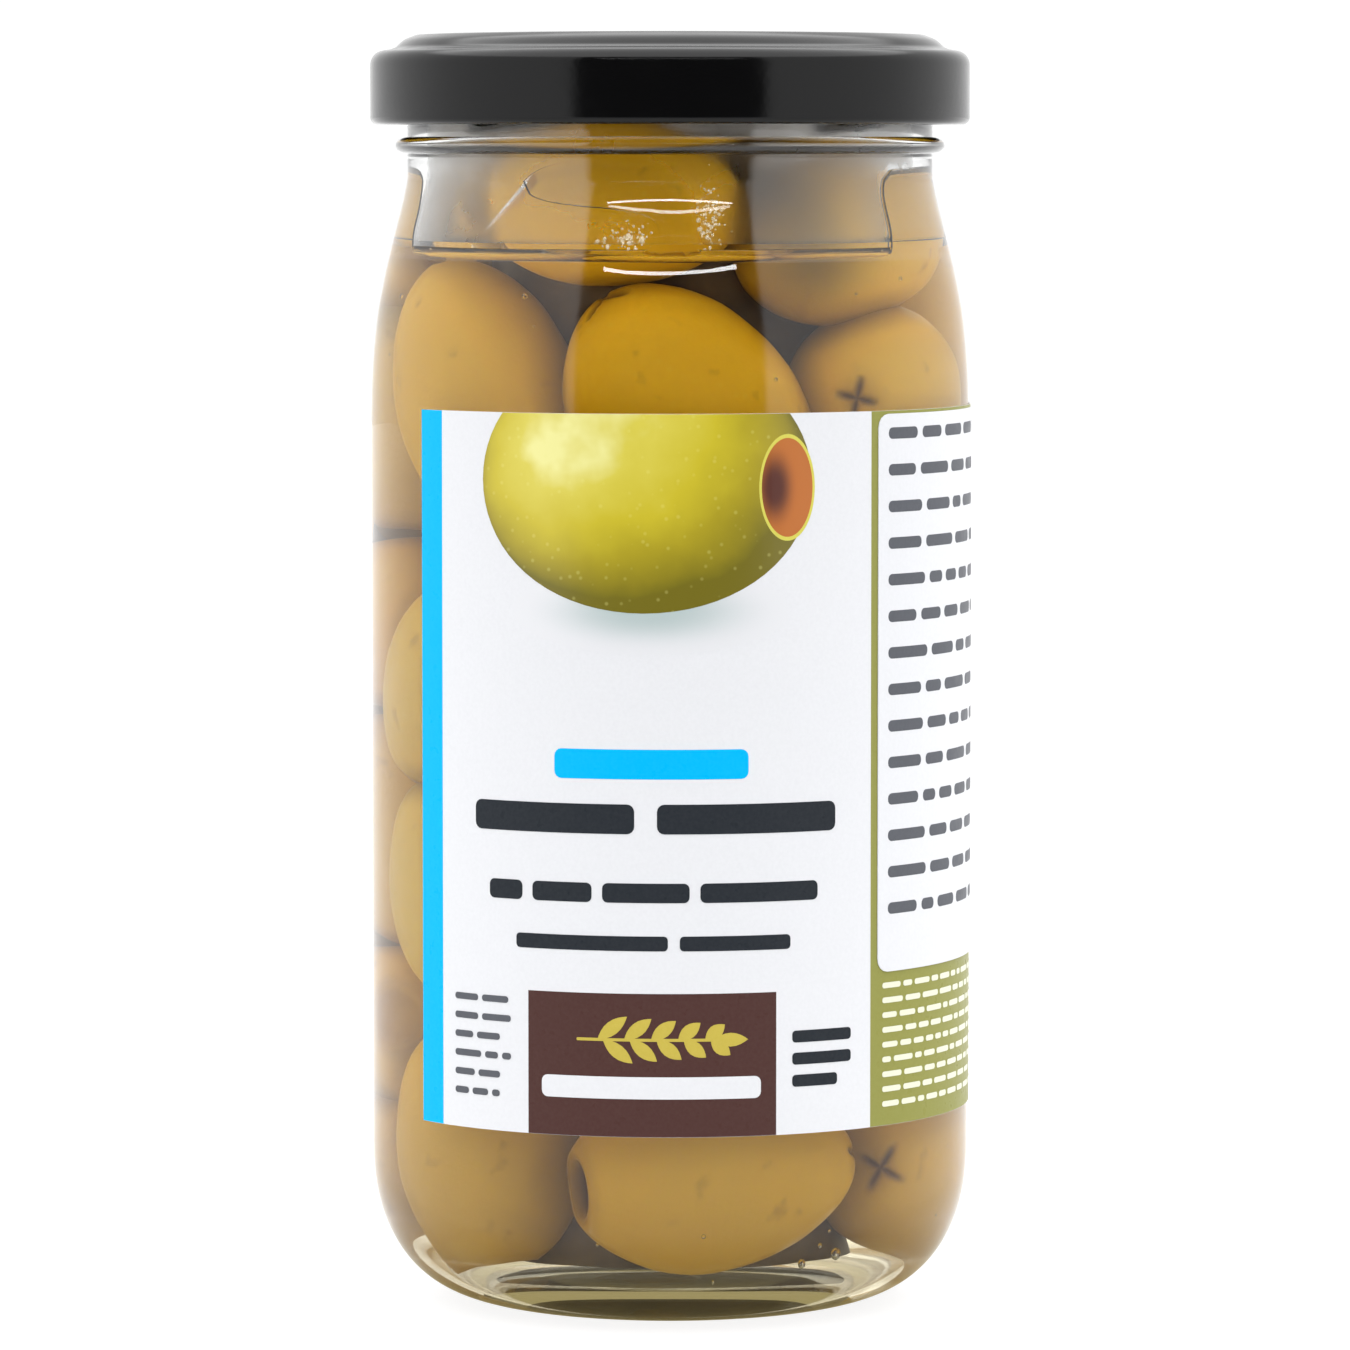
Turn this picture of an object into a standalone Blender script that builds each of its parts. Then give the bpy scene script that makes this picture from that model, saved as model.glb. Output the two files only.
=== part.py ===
"""Sealed glass jar of pitted green olives.

A turned glass jar with a rolled bead and four thread lugs, a pressed twist-off lid, a wrap-round paper
label with a second sticker over it, and the heap of olives that fills the jar. Metres, +Z up, the origin
at the middle of the base, the front of the label facing -Y. Sizes below are written in millimetres and
angles in degrees, counted round the jar from the front, to the right.
"""

import math
import random

import bmesh
import bpy
import numpy as np
from mathutils import Matrix, Vector

MM = 0.001

# Turned pieces
SIDES = 48
BODY_RADIUS = 33.25
WALL = 2.4

# Foot and heel: a flat ring to stand on, a shallow dome inside it and a rounded heel above
FOOT_RING_INNER = 15.5
DOME_HEIGHT = 1.5
HEEL_WIDTH = 14.8
HEEL_HEIGHT = 17.3
HEEL_POWER = 2.3
HEEL_STEPS = 6
FLOOR_THICKNESS = 5.0
INNER_HEEL_WIDTH = 14.0

# Shoulder, as radius at height, from the straight body up to the neck
SHOULDER = [(33.25, 97.6), (33.1, 103.3), (32.6, 109.0), (31.95, 112.8)]
SHOULDER += [(31.1, 116.6), (29.75, 121.9), (29.15, 124.8)]
NECK_RADIUS = 29.15
NECK_WALL = 2.1
BEAD_HEIGHT = 128.4
BEAD_REACH = 1.35
BEAD_HALF = 0.95
RIM_TOP = 139.2
RIM_ROUND = 1.0

# Thread lugs
LUG_STARTS = (-49.0, 32.0, 131.0, 221.0)
LUG_SWEEP = 64.0
LUG_LOW = 131.2
LUG_RISE = 3.4
LUG_THICKNESS = 1.25
LUG_CENTRE_RADIUS = 29.5

# Lid
LID_RADIUS = 33.24
LID_TOP = 140.66
LID_FOOT = 130.7
LID_SHEET = 0.5
CURL_RADIUS = 0.8
PANEL_RADIUS = 24.5
PANEL_DROP = 1.1
BUTTON_RADIUS = 9.0
BUTTON_RISE = 0.5

# Label and the sticker over it
PAPER = 0.12
PAPER_GAP = 0.25
LABEL_START = -53.8
LABEL_END = 248.0
LABEL_LOW = 22.08
LABEL_HIGH = 99.85
LABEL_CORNER = 1.2
STICKER_START = 42.2
STICKER_END = 128.0
STICKER_LOW = 38.9
STICKER_HIGH = 99.5
STICKER_CORNER = 1.4

# Olives: angle, radius and height of the middle, lean from upright, nod outwards, half length, half girth
SHOWN_OLIVES = {
    "top_front": (-20, 17.0, 122.0, 92, 0, 14.0, 9.7),
    "top_right": (66, 17.4, 117.9, 252, -4, 14.3, 9.5),
    "top_back_left": (-116, 17.3, 121.4, 94, 0, 13.2, 9.0),
    "top_back_right": (160, 17.2, 121.0, 86, 0, 13.8, 9.2),
    "shoulder_left": (-60, 20.4, 101.0, -26, 2, 14.6, 9.9),
    "shoulder_front": (5, 19.0, 99.0, -34, 4, 15.0, 11.2),
    "shoulder_right": (69, 20.5, 100.6, -88, 20, 13.4, 9.2),
    "edge_upper": (-67, 20.7, 69.4, 25, 0, 12.6, 9.6),
    "edge_lower": (-64, 20.7, 46.6, -20, 0, 13.4, 9.6),
    "back_left": (-116, 20.3, 98.5, 4, 0, 13.8, 9.8),
    "back_right": (133, 20.3, 100.0, -6, 0, 13.8, 9.8),
    "foot_left": (-64, 20.1, 19.3, -6, 0, 13.8, 10.1),
    "foot_front": (12, 19.4, 16.7, 84, 0, 14.6, 9.9),
    "foot_right": (88, 20.5, 16.4, -90, 3, 13.6, 9.7),
    "foot_back": (176, 20.4, 16.4, 84, 0, 13.8, 9.6),
}
HIDDEN_OLIVES = 20
HIDDEN_LOW, HIDDEN_HIGH = 16.0, 100.0
HIDDEN_HALF = (13.0, 14.6)
HIDDEN_GIRTH = (9.2, 10.3)
HIDDEN_TURN = 270.0
HIDDEN_RADII = (3.0, 19.0)
HIDDEN_LEAN, HIDDEN_NOD = 70.0, 25.0
GOLDEN_ANGLE = 137.5
HEAP_SEED = 3
HEAP_CEILING = 130.0
SETTLE_ROUNDS = 600
TOUCH_GAP = 0.3
BLUNTNESS = 0.07
PIT_DEPTH = 5.5
OLIVE_RINGS = 8
OLIVE_SIDES = 12
CORE_RADIUS = 14.5
CORE_LOW, CORE_HIGH = 9.0, 114.0
CORE_SIDES = 16

# Materials: colour, roughness, metallic, transmission
FINISHES = {
    "clear_glass": ((0.93, 0.97, 0.94), 0.02, 0.0, 1.0),
    "black_lacquer": ((0.012, 0.012, 0.014), 0.18, 0.0, 0.0),
    "white_paper": ((0.90, 0.91, 0.94), 0.38, 0.0, 0.0),
    "sticker_paper": ((0.93, 0.93, 0.95), 0.42, 0.0, 0.0),
    "olive_flesh": ((0.50, 0.29, 0.03), 0.34, 0.0, 0.0),
}


def clear_scene():
    """Empties the scene of the objects it opens with."""
    for thing in list(bpy.data.objects):
        bpy.data.objects.remove(thing, do_unlink=True)


def make_material(name):
    """One Principled material from the table of finishes."""
    colour, roughness, metallic, transmission = FINISHES[name]
    material = bpy.data.materials.new(name)
    material.use_nodes = True
    shader = material.node_tree.nodes["Principled BSDF"]
    shader.inputs["Base Color"].default_value = (*colour, 1.0)
    shader.inputs["Roughness"].default_value = roughness
    shader.inputs["Metallic"].default_value = metallic
    shader.inputs["Transmission Weight"].default_value = transmission
    material.diffuse_color = (*colour, 1.0)
    return material


def add_object(name, mesh, collection, material):
    """Links a mesh as an object with its material, shaded smooth up to 35 degrees."""
    thing = bpy.data.objects.new(name, mesh)
    collection.objects.link(thing)
    if material:
        mesh.materials.append(material)
    mesh.shade_smooth()
    mesh.set_sharp_from_angle(angle=math.radians(35))
    return thing


def front_point(angle, radius, height):
    """A point in millimetres at an angle round the jar from the front."""
    turn = math.radians(angle)
    return Vector((radius * math.sin(turn), -radius * math.cos(turn), height))


def arc(centre_radius, centre_height, reach, rise, start, end, steps):
    """Points along an upright ellipse's arc; 0 degrees is outwards and 90 is up."""
    points = []
    for step in range(steps + 1):
        turn = math.radians(start + (end - start) * step / steps)
        points.append((centre_radius + reach * math.cos(turn), centre_height + rise * math.sin(turn)))
    return points


def heel(inner):
    """The rounded heel from the straight body down to the foot, as radius and height."""
    width = INNER_HEEL_WIDTH if inner else HEEL_WIDTH
    radius = BODY_RADIUS - (WALL if inner else 0.0)
    height = HEEL_HEIGHT - (FLOOR_THICKNESS if inner else 0.0)
    steps = HEEL_STEPS - 3 if inner else HEEL_STEPS
    points = []
    for step in range(steps + 1):
        turn = 0.5 * math.pi * step / steps
        across = max(math.cos(turn), 0.0) ** (2 / HEEL_POWER)
        down = math.sin(turn) ** (2 / HEEL_POWER)
        points.append((radius - width + width * across, HEEL_HEIGHT - height * down))
    return points


def inner_wall():
    """The inside of the glass from the middle of its floor up to the neck."""
    points = [(0.0, FLOOR_THICKNESS)] + heel(inner=True)[::-1]
    for index in (0, 2, 4, len(SHOULDER) - 1):
        radius, height = SHOULDER[index]
        share = index / (len(SHOULDER) - 1)
        points.append((radius - WALL - (NECK_WALL - WALL) * share, height))
    return points


def inside_radius(height):
    """The glass's inside radius at a height, or at an array of heights."""
    wall = inner_wall()[1:] + [(NECK_RADIUS - NECK_WALL, RIM_TOP)]
    return np.interp(height, [point[1] for point in wall], [point[0] for point in wall])


def turned(name, outline, collection, material):
    """A full turn of an outline of radius and height, given down its outer side."""
    mesh = bpy.data.meshes.new(name)
    points = [(radius * MM, 0.0, height * MM) for radius, height in outline]
    mesh.from_pydata(points, [(i, i + 1) for i in range(len(points) - 1)], [])
    thing = add_object(name, mesh, collection, material)
    screw = thing.modifiers.new("turn", "SCREW")
    screw.steps = SIDES
    screw.render_steps = SIDES
    screw.use_merge_vertices = True
    screw.merge_threshold = 0.000001
    screw.use_smooth_shade = True
    return thing


def settle_modifiers(thing):
    """Replaces an object's mesh by the one that its modifiers give."""
    graph = bpy.context.evaluated_depsgraph_get()
    mesh = bpy.data.meshes.new_from_object(thing.evaluated_get(graph))
    thing.modifiers.clear()
    thing.data = mesh


def fuse(target, helpers, solver):
    """Joins the helpers into the target with one Boolean union and removes them."""
    holder = bpy.data.collections.new(target.name + "_joined")
    bpy.context.scene.collection.children.link(holder)
    for helper in helpers:
        holder.objects.link(helper)
        helper.hide_render = True
        helper.display_type = "WIRE"
    union = target.modifiers.new("join", "BOOLEAN")
    union.operation = "UNION"
    union.solver = solver
    union.operand_type = "COLLECTION"
    union.collection = holder
    settle_modifiers(target)
    for helper in helpers:
        bpy.data.objects.remove(helper, do_unlink=True)
    bpy.data.collections.remove(holder)


def make_lug(start):
    """One thread lug: a short ridge that climbs round the neck."""
    curve = bpy.data.curves.new("lug", "CURVE")
    curve.dimensions = "3D"
    curve.bevel_depth = LUG_THICKNESS * MM
    curve.bevel_resolution = 1
    curve.use_fill_caps = True
    spline = curve.splines.new("POLY")
    steps = 8
    spline.points.add(steps)
    for step, point in enumerate(spline.points):
        share = step / steps
        place = front_point(start + LUG_SWEEP * share, LUG_CENTRE_RADIUS, LUG_LOW + LUG_RISE * share)
        point.co = (*(place * MM), 1.0)
    ridge = bpy.data.objects.new("lug_curve", curve)
    bpy.context.scene.collection.objects.link(ridge)
    graph = bpy.context.evaluated_depsgraph_get()
    mesh = bpy.data.meshes.new_from_object(ridge.evaluated_get(graph))
    bpy.data.objects.remove(ridge, do_unlink=True)
    welded = bmesh.new()
    welded.from_mesh(mesh)
    bmesh.ops.remove_doubles(welded, verts=welded.verts, dist=0.000001)
    bmesh.ops.recalc_face_normals(welded, faces=welded.faces)
    welded.to_mesh(mesh)
    welded.free()
    return bpy.data.objects.new("lug", mesh)


def make_glass(collection):
    """The jar: inner wall, rounded mouth, neck with its bead, shoulder, body, heel and foot."""
    inside = NECK_RADIUS - NECK_WALL
    rim = arc(inside + RIM_ROUND, RIM_TOP - RIM_ROUND, RIM_ROUND, RIM_ROUND, 180, 90, 2)
    rim += arc(NECK_RADIUS - RIM_ROUND, RIM_TOP - RIM_ROUND, RIM_ROUND, RIM_ROUND, 90, 0, 2)
    bead = arc(NECK_RADIUS, BEAD_HEIGHT, BEAD_REACH, BEAD_HALF, 90, -90, 4)
    underside = [(FOOT_RING_INNER, 0.0)]
    underside += [(FOOT_RING_INNER * share, DOME_HEIGHT * (1 - share**2)) for share in (0.7, 0.0)]
    outline = inner_wall() + rim + bead + SHOULDER[::-1] + heel(inner=False) + underside
    glass = turned("jar_glass", outline, collection, make_material("clear_glass"))
    fuse(glass, [make_lug(start) for start in LUG_STARTS], "EXACT")
    return glass


def make_lid(collection):
    """The pressed lid: sunk panel with a safety button, raised ring, rounded edge, skirt and curl."""
    panel = LID_TOP - PANEL_DROP
    top = [(0.0, panel + BUTTON_RISE), (BUTTON_RADIUS - 2.0, panel + BUTTON_RISE), (BUTTON_RADIUS, panel)]
    top += [(PANEL_RADIUS, panel), (PANEL_RADIUS + 1.1, LID_TOP - 0.1), (PANEL_RADIUS + 1.8, LID_TOP)]
    top += [(28.3, LID_TOP - 0.1), (29.4, LID_TOP - 0.55), (30.4, LID_TOP - 1.4), (31.4, LID_TOP - 1.75)]
    edge = arc(LID_RADIUS - 1.5, LID_TOP - 3.45, 1.5, 1.6, 78, 0, 3)
    curl = arc(LID_RADIUS - CURL_RADIUS, LID_FOOT + CURL_RADIUS, CURL_RADIUS, CURL_RADIUS, 0, -180, 4)
    skirt = LID_RADIUS - LID_SHEET
    inside = [(skirt, LID_FOOT + 3.0), (skirt, LID_TOP - 3.6), (31.2, LID_TOP - 2.35)]
    inside += [(30.2, LID_TOP - 1.95), (29.0, LID_TOP - 1.0)]
    inside += [(PANEL_RADIUS + 2.0, LID_TOP - 0.55), (PANEL_RADIUS + 0.6, panel - 0.5), (0.0, panel - 0.5)]
    return turned("lid", top + edge + curl + inside, collection, make_material("black_lacquer"))


def wrapped_sheet(name, size, radius, corner, collection, material):
    """A paper sheet bent round the jar, its facets in line with the glass's own."""
    start, end, low, high = size
    facet = 360 / SIDES
    nearest = math.degrees(corner / radius) + 0.05
    inner = [facet * k for k in range(-SIDES, SIDES) if start + nearest < facet * k < end - nearest]
    columns = [start] + inner + [end]
    sheet = bmesh.new()
    bmesh.ops.create_grid(sheet, x_segments=len(columns) - 1, y_segments=1, size=1.0)
    for vert in sheet.verts:
        index = round((vert.co.x + 1) / 2 * (len(columns) - 1))
        vert.co = (math.radians(columns[index]) * radius, high if vert.co.y > 0 else low, 0.0)
    sides = (math.radians(start) * radius, math.radians(end) * radius)
    corners = [v for v in sheet.verts if min(abs(v.co.x - side) for side in sides) < 0.001]
    bmesh.ops.bevel(
        sheet, geom=corners, offset=corner, segments=3, profile=0.5, affect="VERTICES", material=-1
    )
    for vert in sheet.verts:
        vert.co = front_point(math.degrees(vert.co.x / radius), radius, vert.co.y) * MM
    bmesh.ops.recalc_face_normals(sheet, faces=sheet.faces)
    if any(face.normal.dot(face.calc_center_median()) < 0 for face in sheet.faces):
        bmesh.ops.reverse_faces(sheet, faces=sheet.faces)
    mesh = bpy.data.meshes.new(name)
    sheet.to_mesh(mesh)
    sheet.free()
    thing = add_object(name, mesh, collection, material)
    wall = thing.modifiers.new("paper", "SOLIDIFY")
    wall.thickness = PAPER * MM
    wall.offset = 1.0
    return thing


def local_axes(angle, lean, nod):
    """The outward direction at an angle, and the long axis of an olive that leans and nods there."""
    outward = front_point(angle, 1.0, 0.0)
    sideways = front_point(angle + 90, 1.0, 0.0)
    lean, nod = math.radians(lean), math.radians(nod)
    upright = math.cos(lean) * Vector((0, 0, 1)) + math.sin(lean) * sideways
    return outward, math.cos(nod) * upright + math.sin(nod) * outward


def first_places():
    """Where each olive starts, as rows of middle, long axis, half length and half girth."""
    draw = random.Random(HEAP_SEED)
    rows = []
    for angle, radius, height, lean, nod, half, girth in SHOWN_OLIVES.values():
        outward, axis = local_axes(angle, lean, nod)
        rows.append((outward * radius + Vector((0, 0, height)), axis, half, girth))
    for k in range(HIDDEN_OLIVES):
        height = HIDDEN_LOW + (HIDDEN_HIGH - HIDDEN_LOW) * (k + 0.5) / HIDDEN_OLIVES
        radius = HIDDEN_RADII[1] if k % 5 else HIDDEN_RADII[0]
        lean, nod = draw.uniform(-HIDDEN_LEAN, HIDDEN_LEAN), draw.uniform(-HIDDEN_NOD, HIDDEN_NOD)
        outward, axis = local_axes(HIDDEN_TURN + GOLDEN_ANGLE * k, lean, nod)
        half, girth = draw.uniform(*HIDDEN_HALF), draw.uniform(*HIDDEN_GIRTH)
        rows.append((outward * radius + Vector((0, 0, height)), axis, half, girth))
    return rows


def settled_places():
    """Pushes the hidden olives apart, and off the glass, until they fit between the shown ones.

    Each olive is five balls on its long axis. A ball that overlaps a ball of another olive, or the
    glass, pushes its own olive away and turns it a little.
    """
    rows = first_places()
    middle = np.array([row[0] for row in rows])
    axis = np.array([row[1] for row in rows])
    half = np.array([row[2] for row in rows])
    girth = np.array([row[3] for row in rows])
    free = np.arange(len(rows)) >= len(SHOWN_OLIVES)
    along = np.linspace(-1, 1, 5)
    end_size = 0.62
    reach = (half - end_size * girth)[:, None] * along
    size = girth[:, None] * np.sqrt(1 - (math.sqrt(1 - end_size**2) * along) ** 2)
    owner = np.repeat(np.arange(len(rows)), len(along))
    same = owner[:, None] == owner[None]
    radii = size.reshape(-1)
    for step in range(SETTLE_ROUNDS):
        balls = (middle[:, None] + axis[:, None] * reach[:, :, None]).reshape(-1, 3)
        apart = balls[:, None] - balls[None]
        distance = np.linalg.norm(apart, axis=2) + 1e-9
        overlap = np.maximum(radii[:, None] + radii[None] - distance, 0)
        overlap[same] = 0
        push = (apart * (overlap / distance)[:, :, None]).sum(1) * 0.5
        radius = np.maximum(np.hypot(balls[:, 0], balls[:, 1]), 1e-6)
        room = inside_radius(balls[:, 2]) - TOUCH_GAP
        push[:, :2] -= balls[:, :2] * (np.maximum(radius + radii - room, 0) / radius)[:, None]
        push[:, 2] += np.maximum(FLOOR_THICKNESS + TOUCH_GAP + radii - balls[:, 2], 0)
        push[:, 2] -= np.maximum(balls[:, 2] + radii - HEAP_CEILING, 0)
        push = push.reshape(len(rows), len(along), 3)
        turn = np.cross(axis[:, None] * reach[:, :, None], push).mean(1) * 3 / half[:, None] ** 2
        middle[free] += np.clip(push.mean(1)[free] * 1.2, -1, 1)
        middle[free, 2] -= 0.02 * (1 - step / SETTLE_ROUNDS)
        axis[free] += np.cross(turn[free], axis[free])
        axis /= np.linalg.norm(axis, axis=1, keepdims=True)
    places = [(Vector(m), Vector(a), h, g) for m, a, h, g in zip(middle, axis, half, girth)]
    for place in places:
        clear_of_glass(*place)
    return places


def clear_of_glass(middle, axis, half, girth):
    """Moves an olive's middle in and up until its skin clears the glass and the floor."""
    turn = np.array(axis.to_track_quat("Z", "Y").to_matrix())
    level, around = np.meshgrid(np.cos(np.linspace(0.1, 3.04, 13)), np.linspace(0, 2 * math.pi, 17))
    level, around = level.reshape(-1), around.reshape(-1)
    width = girth * np.sqrt(1 - level**2) * (1 - BLUNTNESS * level)
    skin = (turn @ np.stack([width * np.cos(around), width * np.sin(around), half * level])).T
    for _ in range(4):
        here = skin + np.array(middle)
        over = (np.hypot(here[:, 0], here[:, 1]) + TOUCH_GAP - inside_radius(here[:, 2])).max()
        under = FLOOR_THICKNESS + TOUCH_GAP - here[:, 2].min()
        inward = Vector((-middle.x, -middle.y, 0)).normalized()
        middle += inward * max(over, 0) + Vector((0, 0, max(under, 0)))


def make_olive(place, material):
    """One pitted olive: a ball drawn out along its axis, blunter at the end with the pit's hole."""
    middle, axis, half, girth = place
    ball = bmesh.new()
    bmesh.ops.create_uvsphere(ball, u_segments=OLIVE_SIDES, v_segments=OLIVE_RINGS, radius=1.0)
    cap = [f for f in ball.faces if len(f.verts) == 3 and f.calc_center_median().z < 0]
    pushed = bmesh.ops.extrude_face_region(ball, geom=cap)["geom"]
    bmesh.ops.delete(ball, geom=cap, context="FACES_ONLY")
    bottom = [item for item in pushed if isinstance(item, bmesh.types.BMVert)]
    deep = PIT_DEPTH / half
    for vert in bottom:
        vert.co = (vert.co.x * 0.8, vert.co.y * 0.8, deep - 1.0)
    for vert in ball.verts:
        width = girth * (1 - BLUNTNESS * vert.co.z) * MM
        vert.co = (vert.co.x * width, vert.co.y * width, vert.co.z * half * MM)
    turn = axis.to_track_quat("Z", "Y").to_matrix().to_4x4()
    ball.transform(Matrix.Translation(middle * MM) @ turn)
    bmesh.ops.recalc_face_normals(ball, faces=ball.faces)
    mesh = bpy.data.meshes.new("olive")
    ball.to_mesh(mesh)
    ball.free()
    mesh.materials.append(material)
    return bpy.data.objects.new("olive", mesh)


def make_heap(collection):
    """The olives that touch the glass, fused on a plain core that stands for those within."""
    material = make_material("olive_flesh")
    core = bmesh.new()
    length = (CORE_HIGH - CORE_LOW) * MM
    radius = CORE_RADIUS * MM
    bmesh.ops.create_cone(
        core, cap_ends=True, segments=CORE_SIDES, radius1=radius, radius2=radius, depth=length
    )
    core.transform(Matrix.Translation((0, 0, CORE_LOW * MM + length / 2)))
    mesh = bpy.data.meshes.new("olives")
    core.to_mesh(mesh)
    core.free()
    heap = add_object("olives", mesh, collection, material)
    outer = [place for place in settled_places() if place[0].xy.length > CORE_RADIUS - 4]
    fuse(heap, [make_olive(place, material) for place in outer], "EXACT")
    heap.data.shade_smooth()
    heap.data.set_sharp_from_angle(angle=math.radians(50))
    return heap


def main():
    """Builds the jar's pieces in one collection."""
    clear_scene()
    collection = bpy.data.collections.new("jar_of_olives")
    bpy.context.scene.collection.children.link(collection)
    make_glass(collection)
    make_lid(collection)
    label_radius = BODY_RADIUS + PAPER_GAP
    label_size = (LABEL_START, LABEL_END, LABEL_LOW, LABEL_HIGH)
    paper = make_material("white_paper")
    wrapped_sheet("label", label_size, label_radius, LABEL_CORNER, collection, paper)
    sticker_radius = label_radius + PAPER + PAPER_GAP
    sticker_size = (STICKER_START, STICKER_END, STICKER_LOW, STICKER_HIGH)
    paper = make_material("sticker_paper")
    wrapped_sheet("sticker", sticker_size, sticker_radius, STICKER_CORNER, collection, paper)
    make_heap(collection)


main()
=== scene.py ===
"""Looks of a sealed jar of pitted green olives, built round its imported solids.

Lengths are written in millimetres and angles in degrees, counted round the jar from the middle of the
label's front towards the right. Meshes are made in metres and in place.
"""

import logging
import math
import random
from collections.abc import Callable, Sequence
from dataclasses import dataclass, replace
from enum import Enum

import bmesh
import bpy
import numpy as np
from bmesh.types import BMesh, BMFace, BMVert
from bpy.types import Material, NodeSocket, Object
from mathutils import Matrix, Vector, noise


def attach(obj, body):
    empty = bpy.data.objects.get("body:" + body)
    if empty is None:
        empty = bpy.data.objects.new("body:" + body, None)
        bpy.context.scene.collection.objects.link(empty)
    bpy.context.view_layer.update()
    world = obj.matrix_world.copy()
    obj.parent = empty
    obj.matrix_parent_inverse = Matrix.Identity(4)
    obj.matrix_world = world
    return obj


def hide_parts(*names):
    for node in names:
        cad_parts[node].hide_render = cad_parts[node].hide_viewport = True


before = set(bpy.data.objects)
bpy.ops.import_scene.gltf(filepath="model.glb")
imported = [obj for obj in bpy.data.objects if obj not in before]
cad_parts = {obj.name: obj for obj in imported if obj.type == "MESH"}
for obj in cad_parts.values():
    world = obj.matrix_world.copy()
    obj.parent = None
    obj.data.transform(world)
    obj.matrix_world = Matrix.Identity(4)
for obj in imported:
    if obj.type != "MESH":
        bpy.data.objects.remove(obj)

LOG = logging.getLogger("jar_of_olives")
BODY = "root"
MM = 0.001
BRINE_LEVEL = 115.3
BRINE_BEND = 1.333
AIR_BEND = 0.75
WET_MIRROR = 0.08

Outline = list[tuple[float, float]]
Colour = tuple[float, float, float]
Span = tuple[float, float]
Oval = tuple[float, float, float, float]
BLACK: Colour = (0.0, 0.0, 0.0)
CLEAR: Colour = (1.0, 1.0, 1.0)


class Ink(Enum):
    """The colours printed on the papers, as linear red, green and blue."""

    SKY = (0.0, 0.425, 0.82)
    DARK = (0.022, 0.026, 0.032)
    GREY = (0.10, 0.105, 0.12)
    BROWN = (0.072, 0.033, 0.029)
    LEAF_GREEN = (0.262, 0.262, 0.070)
    PALE = (0.72, 0.73, 0.58)
    WHITE = (0.695, 0.703, 0.728)
    GOLD = (0.50, 0.40, 0.07)


def front_point(angle: float, radius: float, height: float) -> Vector:
    """Finds a point round the jar.

    Args:
        angle: Degrees round the jar from the label's front.
        radius: Distance from the jar's axis.
        height: Height over the base.

    Returns:
        The point in millimetres.
    """
    turn = math.radians(angle)
    return Vector((radius * math.sin(turn), -radius * math.cos(turn), height))


def arc(middle: Span, reach: float, rise: float, span: Span, steps: int) -> Outline:
    """Lists the points of an upright ellipse's arc.

    Args:
        middle: Radius and height of the ellipse's middle.
        reach: Half width.
        rise: Half height.
        span: First and last angle, 0 outwards and 90 up.
        steps: Number of straight steps.

    Returns:
        The arc as radius and height.
    """
    turns = np.radians(np.linspace(span[0], span[1], steps + 1))
    return [(middle[0] + reach * math.cos(t), middle[1] + rise * math.sin(t)) for t in turns]


def smoothed(points: Outline, steps: int) -> Outline:
    """Runs a smooth curve through an outline's points.

    Args:
        points: The points to pass through.
        steps: Short steps in place of each long one.

    Returns:
        The finer outline, from the first point to the last.
    """
    ends = [points[0]] + points + [points[-1]]
    fine = []
    for before, start, end, after in zip(ends, ends[1:], ends[2:], ends[3:]):
        for step in range(steps):
            t = step / steps
            blend = (-t + 2 * t**2 - t**3, 2 - 5 * t**2 + 3 * t**3, t + 4 * t**2 - 3 * t**3, t**3 - t**2)
            pairs = zip(before, start, end, after)
            fine.append(tuple(0.5 * sum(b * v for b, v in zip(blend, pair)) for pair in pairs))
    return fine + [points[-1]]


def lathe(outline: Outline, steps: int) -> BMesh:
    """Turns an outline once round the jar's axis.

    Args:
        outline: Radius and height along the outline, both ends on the axis or at one point.
        steps: Facets in the turn.

    Returns:
        The closed mesh, in metres.
    """
    form = bmesh.new()
    verts = [form.verts.new((radius * MM, 0, height * MM)) for radius, height in outline]
    edges = [form.edges.new(pair) for pair in zip(verts, verts[1:])]
    bmesh.ops.spin(
        form, geom=verts + edges, axis=(0, 0, 1), angle=2 * math.pi, steps=steps, use_merge=True
    )
    bmesh.ops.remove_doubles(form, verts=form.verts, dist=0.01 * MM)
    bmesh.ops.recalc_face_normals(form, faces=form.faces)
    return form


def cut_strips(form: BMesh, pitch: float, axis: int) -> None:
    """Cuts a mesh into strips at whole multiples of a pitch, so that it can be bent.

    Args:
        form: The mesh to cut.
        pitch: Width of a strip.
        axis: 0 to cut across x, 1 to cut across y.
    """
    places = [vert.co[axis] for vert in form.verts]
    normal = Vector((1 - axis, axis, 0))
    for index in range(math.ceil(min(places) / pitch), math.floor(max(places) / pitch) + 1):
        geom = form.verts[:] + form.edges[:] + form.faces[:]
        bmesh.ops.bisect_plane(form, geom=geom, dist=1e-5, plane_co=normal * index * pitch, plane_no=normal)


def relief(form: BMesh, height_at: Callable[[float, float, float], float]) -> None:
    """Moves each vertex outwards from the jar's axis.

    Args:
        form: The turned mesh, in metres.
        height_at: Gives the move in millimetres from the angle, radius and height.
    """
    for vert in form.verts:
        radius = vert.co.xy.length / MM
        if radius < 1:
            continue
        angle = math.degrees(math.atan2(vert.co.x, -vert.co.y))
        moved = radius + height_at(angle, radius, vert.co.z / MM)
        vert.co.x *= moved / radius
        vert.co.y *= moved / radius


def plain_object(form: BMesh, name: str) -> Object:
    """Makes a mesh into an object that isn't a piece of the jar, and frees the mesh."""
    mesh = bpy.data.meshes.new(name)
    form.to_mesh(mesh)
    form.free()
    return bpy.data.objects.new(name, mesh)


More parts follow.
